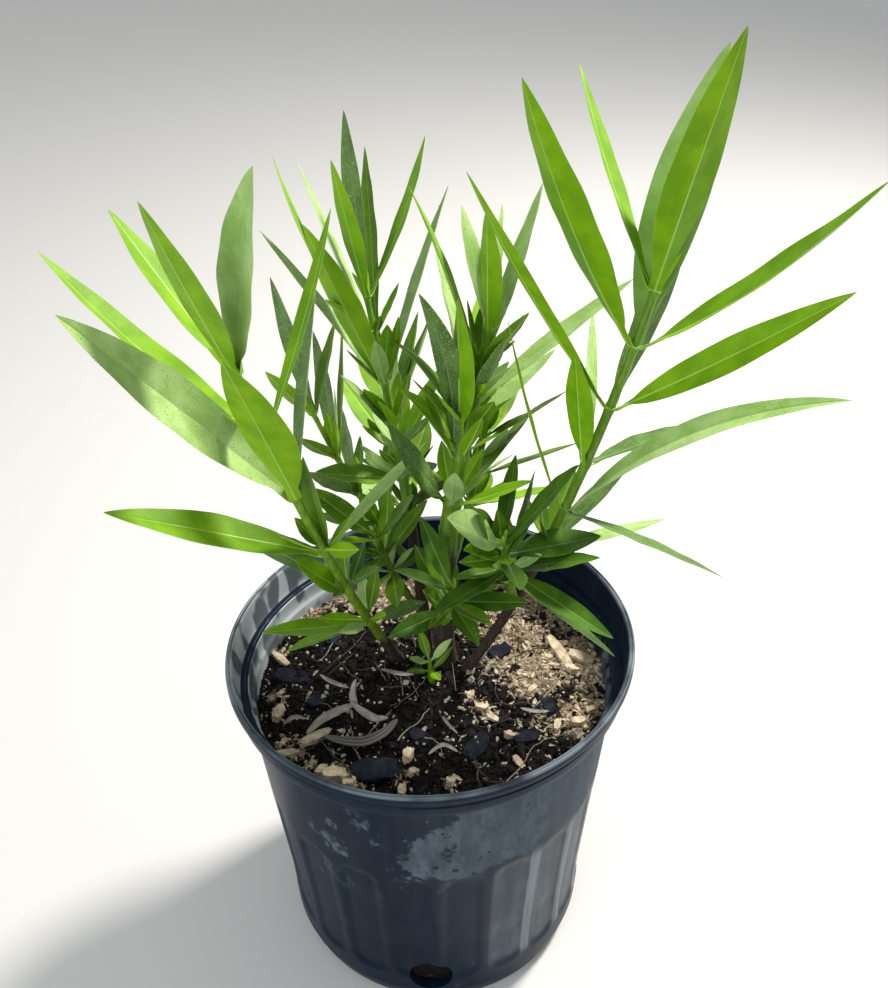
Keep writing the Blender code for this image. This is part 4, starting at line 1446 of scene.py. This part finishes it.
def spreadOf(rng, key):
    return rng.uniform(-bladeSettings[key], bladeSettings[key])


def whorlLeaves(made, whorl, rng):
    along, _, *leaves = whorl
    top = (along - made["leafy"]) / (1.0 - made["leafy"])
    first = rng.uniform(0, 360)
    listed = len(leaves)
    while len(leaves) < bladeSettings["perWhorl"]:
        turns = sorted(leaf[0] for leaf in leaves)
        if turns:
            after = turns[1:] + [turns[0] + 360]
            space, turn = max((high - low, low) for low, high in zip(turns, after))
            turn += 0.5 * space + spreadOf(rng, "turnSpread")
        else:
            turn = first
        opening, length = (low + (high - low) * top for high, low in (made["opening"], made["length"]))
        opening += spreadOf(rng, "openingSpread")
        length *= rng.uniform(*bladeSettings["lengthSpread"])
        width = bladeSettings["breadth"] * length
        leaves.append((turn % 360, opening, length, width, 0, bladeSettings["bend"]))
    return [(leaf, index < listed) for index, leaf in enumerate(leaves)]


def seatedLeaf(solid, line, along, radius, leaf, listed):
    # The first place that the rule tries where the solid mass has this leaf, or None where it left it out
    turn, opening, length, width, roll, bend = leaf
    shares, turns = ((1.0,), nudges) if listed else (shorter, wideNudges)
    for share in shares:
        for nudge in turns:
            tried = (turn + nudge, opening, length * share, width * share, roll, bend)
            centres = leafCentres(line, along, radius, tried, solidStops)[2:]
            reach = solidReach[0] * tried[2] * mm + solidReach[1] * mm
            found = [solid.find_nearest(point, reach)[0] is not None for point in centres]
            if sum(found) >= len(centres) - 1 and found[-1]:
                return tried
    return None


def bladeStops():
    steps, even = bladeSettings["steps"], 1 - bladeSettings["crowding"]
    stops = []
    for step in range(steps + 1):
        crowded = 0.5 - 0.5 * math.cos(math.pi * (step / steps) ** 0.95) if step < steps else 1.0
        stops.append((1 - even) * crowded + even * step / steps)
    return stops


def addBlade(store, line, along, radius, leaf, kind, rng, fold=None):
    # One leaf: an upper and a lower skin, pale edges and a raised midrib, with a short thick foot
    steps, columns = bladeSettings["steps"], bladeSettings["columns"]
    stops = bladeStops()
    centres = leafCentres(line, along, radius, leaf, stops)
    stem, outward = leafFrame(line, along, leaf)
    across = stem.cross(outward)
    length = leaf[2] * mm
    fold = bladeSettings["fold"] * rng.uniform(0.5, 1.5) if fold is None else fold
    twist = math.radians(bladeSettings["twist"]) * rng.uniform(-1, 1)
    wetness = leafKinds[kind][-1] * rng.uniform(0.3, 1.6)
    waves, phase = rng.uniform(2.0, 4.5), rng.uniform(0, fullTurn)
    waving = bladeSettings["wave"] * rng.uniform(0.4, 1.4)
    drift = spreadOf(rng, "drift") * length
    sides = [-value for value in reversed(columns[1:])] + list(columns)
    first = len(store["points"])
    for index, (point, share) in enumerate(zip(centres, stops)):
        forward = (centres[min(index + 1, steps)] - centres[max(index - 1, 0)]).normalized()
        side = (across - forward * across.dot(forward)).normalized()
        normal = forward.cross(side)
        lean = math.radians(leaf[4]) * min(1.0, bladeSettings["rollRise"] * share) + twist * share
        edge = side * math.cos(lean) + normal * math.sin(lean)
        face = normal * math.cos(lean) - side * math.sin(lean)
        point = point + edge * (drift * share * share)
        if index == 0:
            point = point - outward * radius * 0.5
        half = bladeHalf(share) * leaf[3] * mm
        petiole = max(0.0, 1 - share / bladeSettings["petioleLength"])
        thick = bladeSettings["thick"] * (1 - 0.45 * share)
        core = thick + (bladeSettings["petioleThick"] - thick) * petiole ** 1.5
        rib = min(0.45 * half, 0.5 * bladeSettings["ribWidth"] * (1 - 0.8 * share))
        ribLow = bladeSettings["ribHeight"] * (1 - share) ** 0.8
        for lower in (False, True):
            for value in sides:
                away = 0.0
                if value:
                    spread = max(0.0, (abs(value) - columns[1]) / (1 - columns[1]))
                    away = math.copysign(rib + (half - rib) * spread, value)
                flat = min(1.0, abs(away) / max(half, 1e-6))
                turn = waves * fullTurn * share + phase + (bladeSettings["farWave"] if value > 0 else 0.0)
                height = fold * half * flat ** 1.25 * (1 - petiole)
                height += waving * half * 2 * flat ** 2 * math.sin(turn)
                local = core * (1 - 0.62 * flat ** 1.5)
                if lower:
                    height -= 0.5 * local + (0.0 if value else ribLow)
                else:
                    height += 0.5 * local - (0.0 if value else bladeSettings["furrow"])
                store["points"].append(point + edge * away + face * height)
                store["places"].append((share * length * 100, away * 100))
                store["wet"].append(0.0 if share < bladeSettings["dryFoot"] else wetness)
    blade = 2 * list(leafKinds).index(kind)
    middle = len(sides) // 2
    for corners, row, column in thinSkin(first, steps, len(sides)):
        store["faces"].append(corners)
        onRib = column is None or row == 0 or column in (middle - 1, middle)
        store["finish"].append(blade + 1 if onRib else blade)


def leafKind(kinds, index, top, rng):
    if index < len(kinds):
        return kindByLetter[kinds[index]]
    # Leaves that the rule adds take lighter kinds high on the shoot and darker ones lower down: painted light
    # above, painted shade below
    pick = rng.random()
    if top > 0.6:
        return "mid" if pick < 0.3 else "pale" if pick < 0.5 else "bright"
    return "deep" if pick < 0.25 else "mid" if pick < 0.65 else "bright" if pick < 0.8 else "pale"


def addWhorlLeaves(store, name, line, detail):
    made = shoots[name]
    mesh = frame["nodes"]["mass_" + name].data
    corners = [vertex.co for vertex in mesh.vertices]
    solid = BVHTree.FromPolygons(corners, [face.vertices for face in mesh.polygons])
    rng = random.Random(name)
    for whorl in made["whorls"]:
        along, kinds = whorl[:2]
        top = (along - made["leafy"]) / (1.0 - made["leafy"])
        radius = limbRadius(name, along)
        for index, (leaf, listed) in enumerate(whorlLeaves(made, whorl, rng)):
            kind = leafKind(kinds, index, top, detail)
            seated = seatedLeaf(solid, line, along, radius, leaf, listed)
            if seated:
                addBlade(store, line, along, radius, seated, kind, detail)
            else:
                print(f"  left out as in the solids: leaf {index + 1} of the whorl at {along} on {name}")


def addAxilLeaves(store, name, line, rng):
    # Short side leaves that stand in the axils of the whorls below the top one
    spread, count = axilSettings["spread"], axilSettings["perWhorl"]
    for place, *_ in shoots[name]["whorls"][1:]:
        if place > axilSettings["highest"].get(name, 1.0):
            continue
        start = rng.uniform(0, 360)
        for index in range(count):
            length = rng.uniform(*axilSettings["length"])
            turn = start + 360 * index / count + rng.uniform(-spread, spread)
            opening = rng.uniform(*axilSettings["opening"])
            width = rng.uniform(*axilSettings["breadth"]) * length
            leaf = (turn, opening, length, width, rng.uniform(-spread, spread), axilSettings["bend"])
            along = min(1.0, place + rng.uniform(0.0, axilSettings["rise"]))
            high = linePoint(line, along).z > axilSettings["high"]
            kind = rng.choice(axilSettings["highKinds" if high else "lowKinds"])
            addBlade(store, line, along, limbRadius(name, along), leaf, kind, rng)


def addTipLeaves(store, name, line, rng):
    # The folded young leaves that stand in the middle of each shoot's last whorl
    size = tipSettings["length"] * shoots[name]["length"][0]
    start = rng.uniform(0, 360)
    for index in range(tipSettings["count"]):
        length = size * rng.uniform(0.75, 1.25)
        turn, opening = start + tipSettings["step"] * index, 7 + 3 * index
        roll = rng.uniform(-tipSettings["roll"], tipSettings["roll"])
        leaf = (turn, opening, length, tipSettings["breadth"] * length, roll, tipSettings["bend"])
        addBlade(store, line, 1.0, limbRadius(name, 1.0) * 0.55, leaf, "young", rng, tipSettings["fold"])


def makeLeaves(finishes):
    pieces = {}
    for name, made in shoots.items():
        line = shootLine(name)
        detail = random.Random(name + " detail")
        store = {"points": [], "places": [], "faces": [], "finish": [], "wet": []}
        addWhorlLeaves(store, name, line, detail)
        if made["leafy"]:
            addAxilLeaves(store, name, line, detail)
            addTipLeaves(store, name, line, detail)
        leaves = meshObject("leaves_" + name, store["points"], store["faces"])
        for finish in finishes:
            leaves.data.materials.append(finish)
        leaves.data.polygons.foreach_set("material_index", store["finish"])
        setBladeMap(leaves, store["places"])
        setAttribute(leaves, "wet", store["wet"])
        settle(leaves, 50, "mass_" + name)
        pieces[name] = leaves
    return pieces


# Water beads on the leaves

beadSettings = {
    "Ground": "wet",
    "Per Square Metre": 210000.0,
    "Smallest": 0.12 * mm,
    "Largest": 0.44 * mm,
    "Tilt": 0.1,
    "Lift": 0.05 * mm,
}
beadHeights = (0.55, 0.75)


def beadShape(height):
    shape = bmesh.new()
    bmesh.ops.create_icosphere(shape, subdivisions=1, radius=1.0)
    for vertex in shape.verts:
        vertex.co.z *= height
    mesh = meshFrom("bead", shape)
    mesh.shade_smooth()
    return bpy.data.objects.new("bead", mesh)


def makeBeads(pieces, material):
    kit = shapeKit("beads", [beadShape(height) for height in beadHeights])
    rule = scatterRule("scatter_beads")
    for seed, (name, leaves) in enumerate(pieces.items()):
        values = {"Shapes": kit, **beadSettings, "Seed": seed, "Material": material}
        settle(grow(leaves, rule, values, "beads_" + name), 80)


# Build

print("camera and lamps")
makeCamera()
makeStudio()
print("pot")
makePot(potFinish())
print("bark bed")
bed = makeBed(bedFinish())
scatterBark(bed)
settle(bed, 60, "soil")
makeBigChips()
makeDryLeaves(dryLeafFinish())
tubes = tubeRule("bark_tube")
makeStrands(tubes)
print("stems")
makeStems(tubes, stemFinish())
print("leaves")
finishes = [make(kind) for kind in leafKinds for make in (bladeFinish, ribFinish)]
leafPieces = makeLeaves(finishes)
print("water beads")
makeBeads(leafPieces, beadFinish())

print("finished")
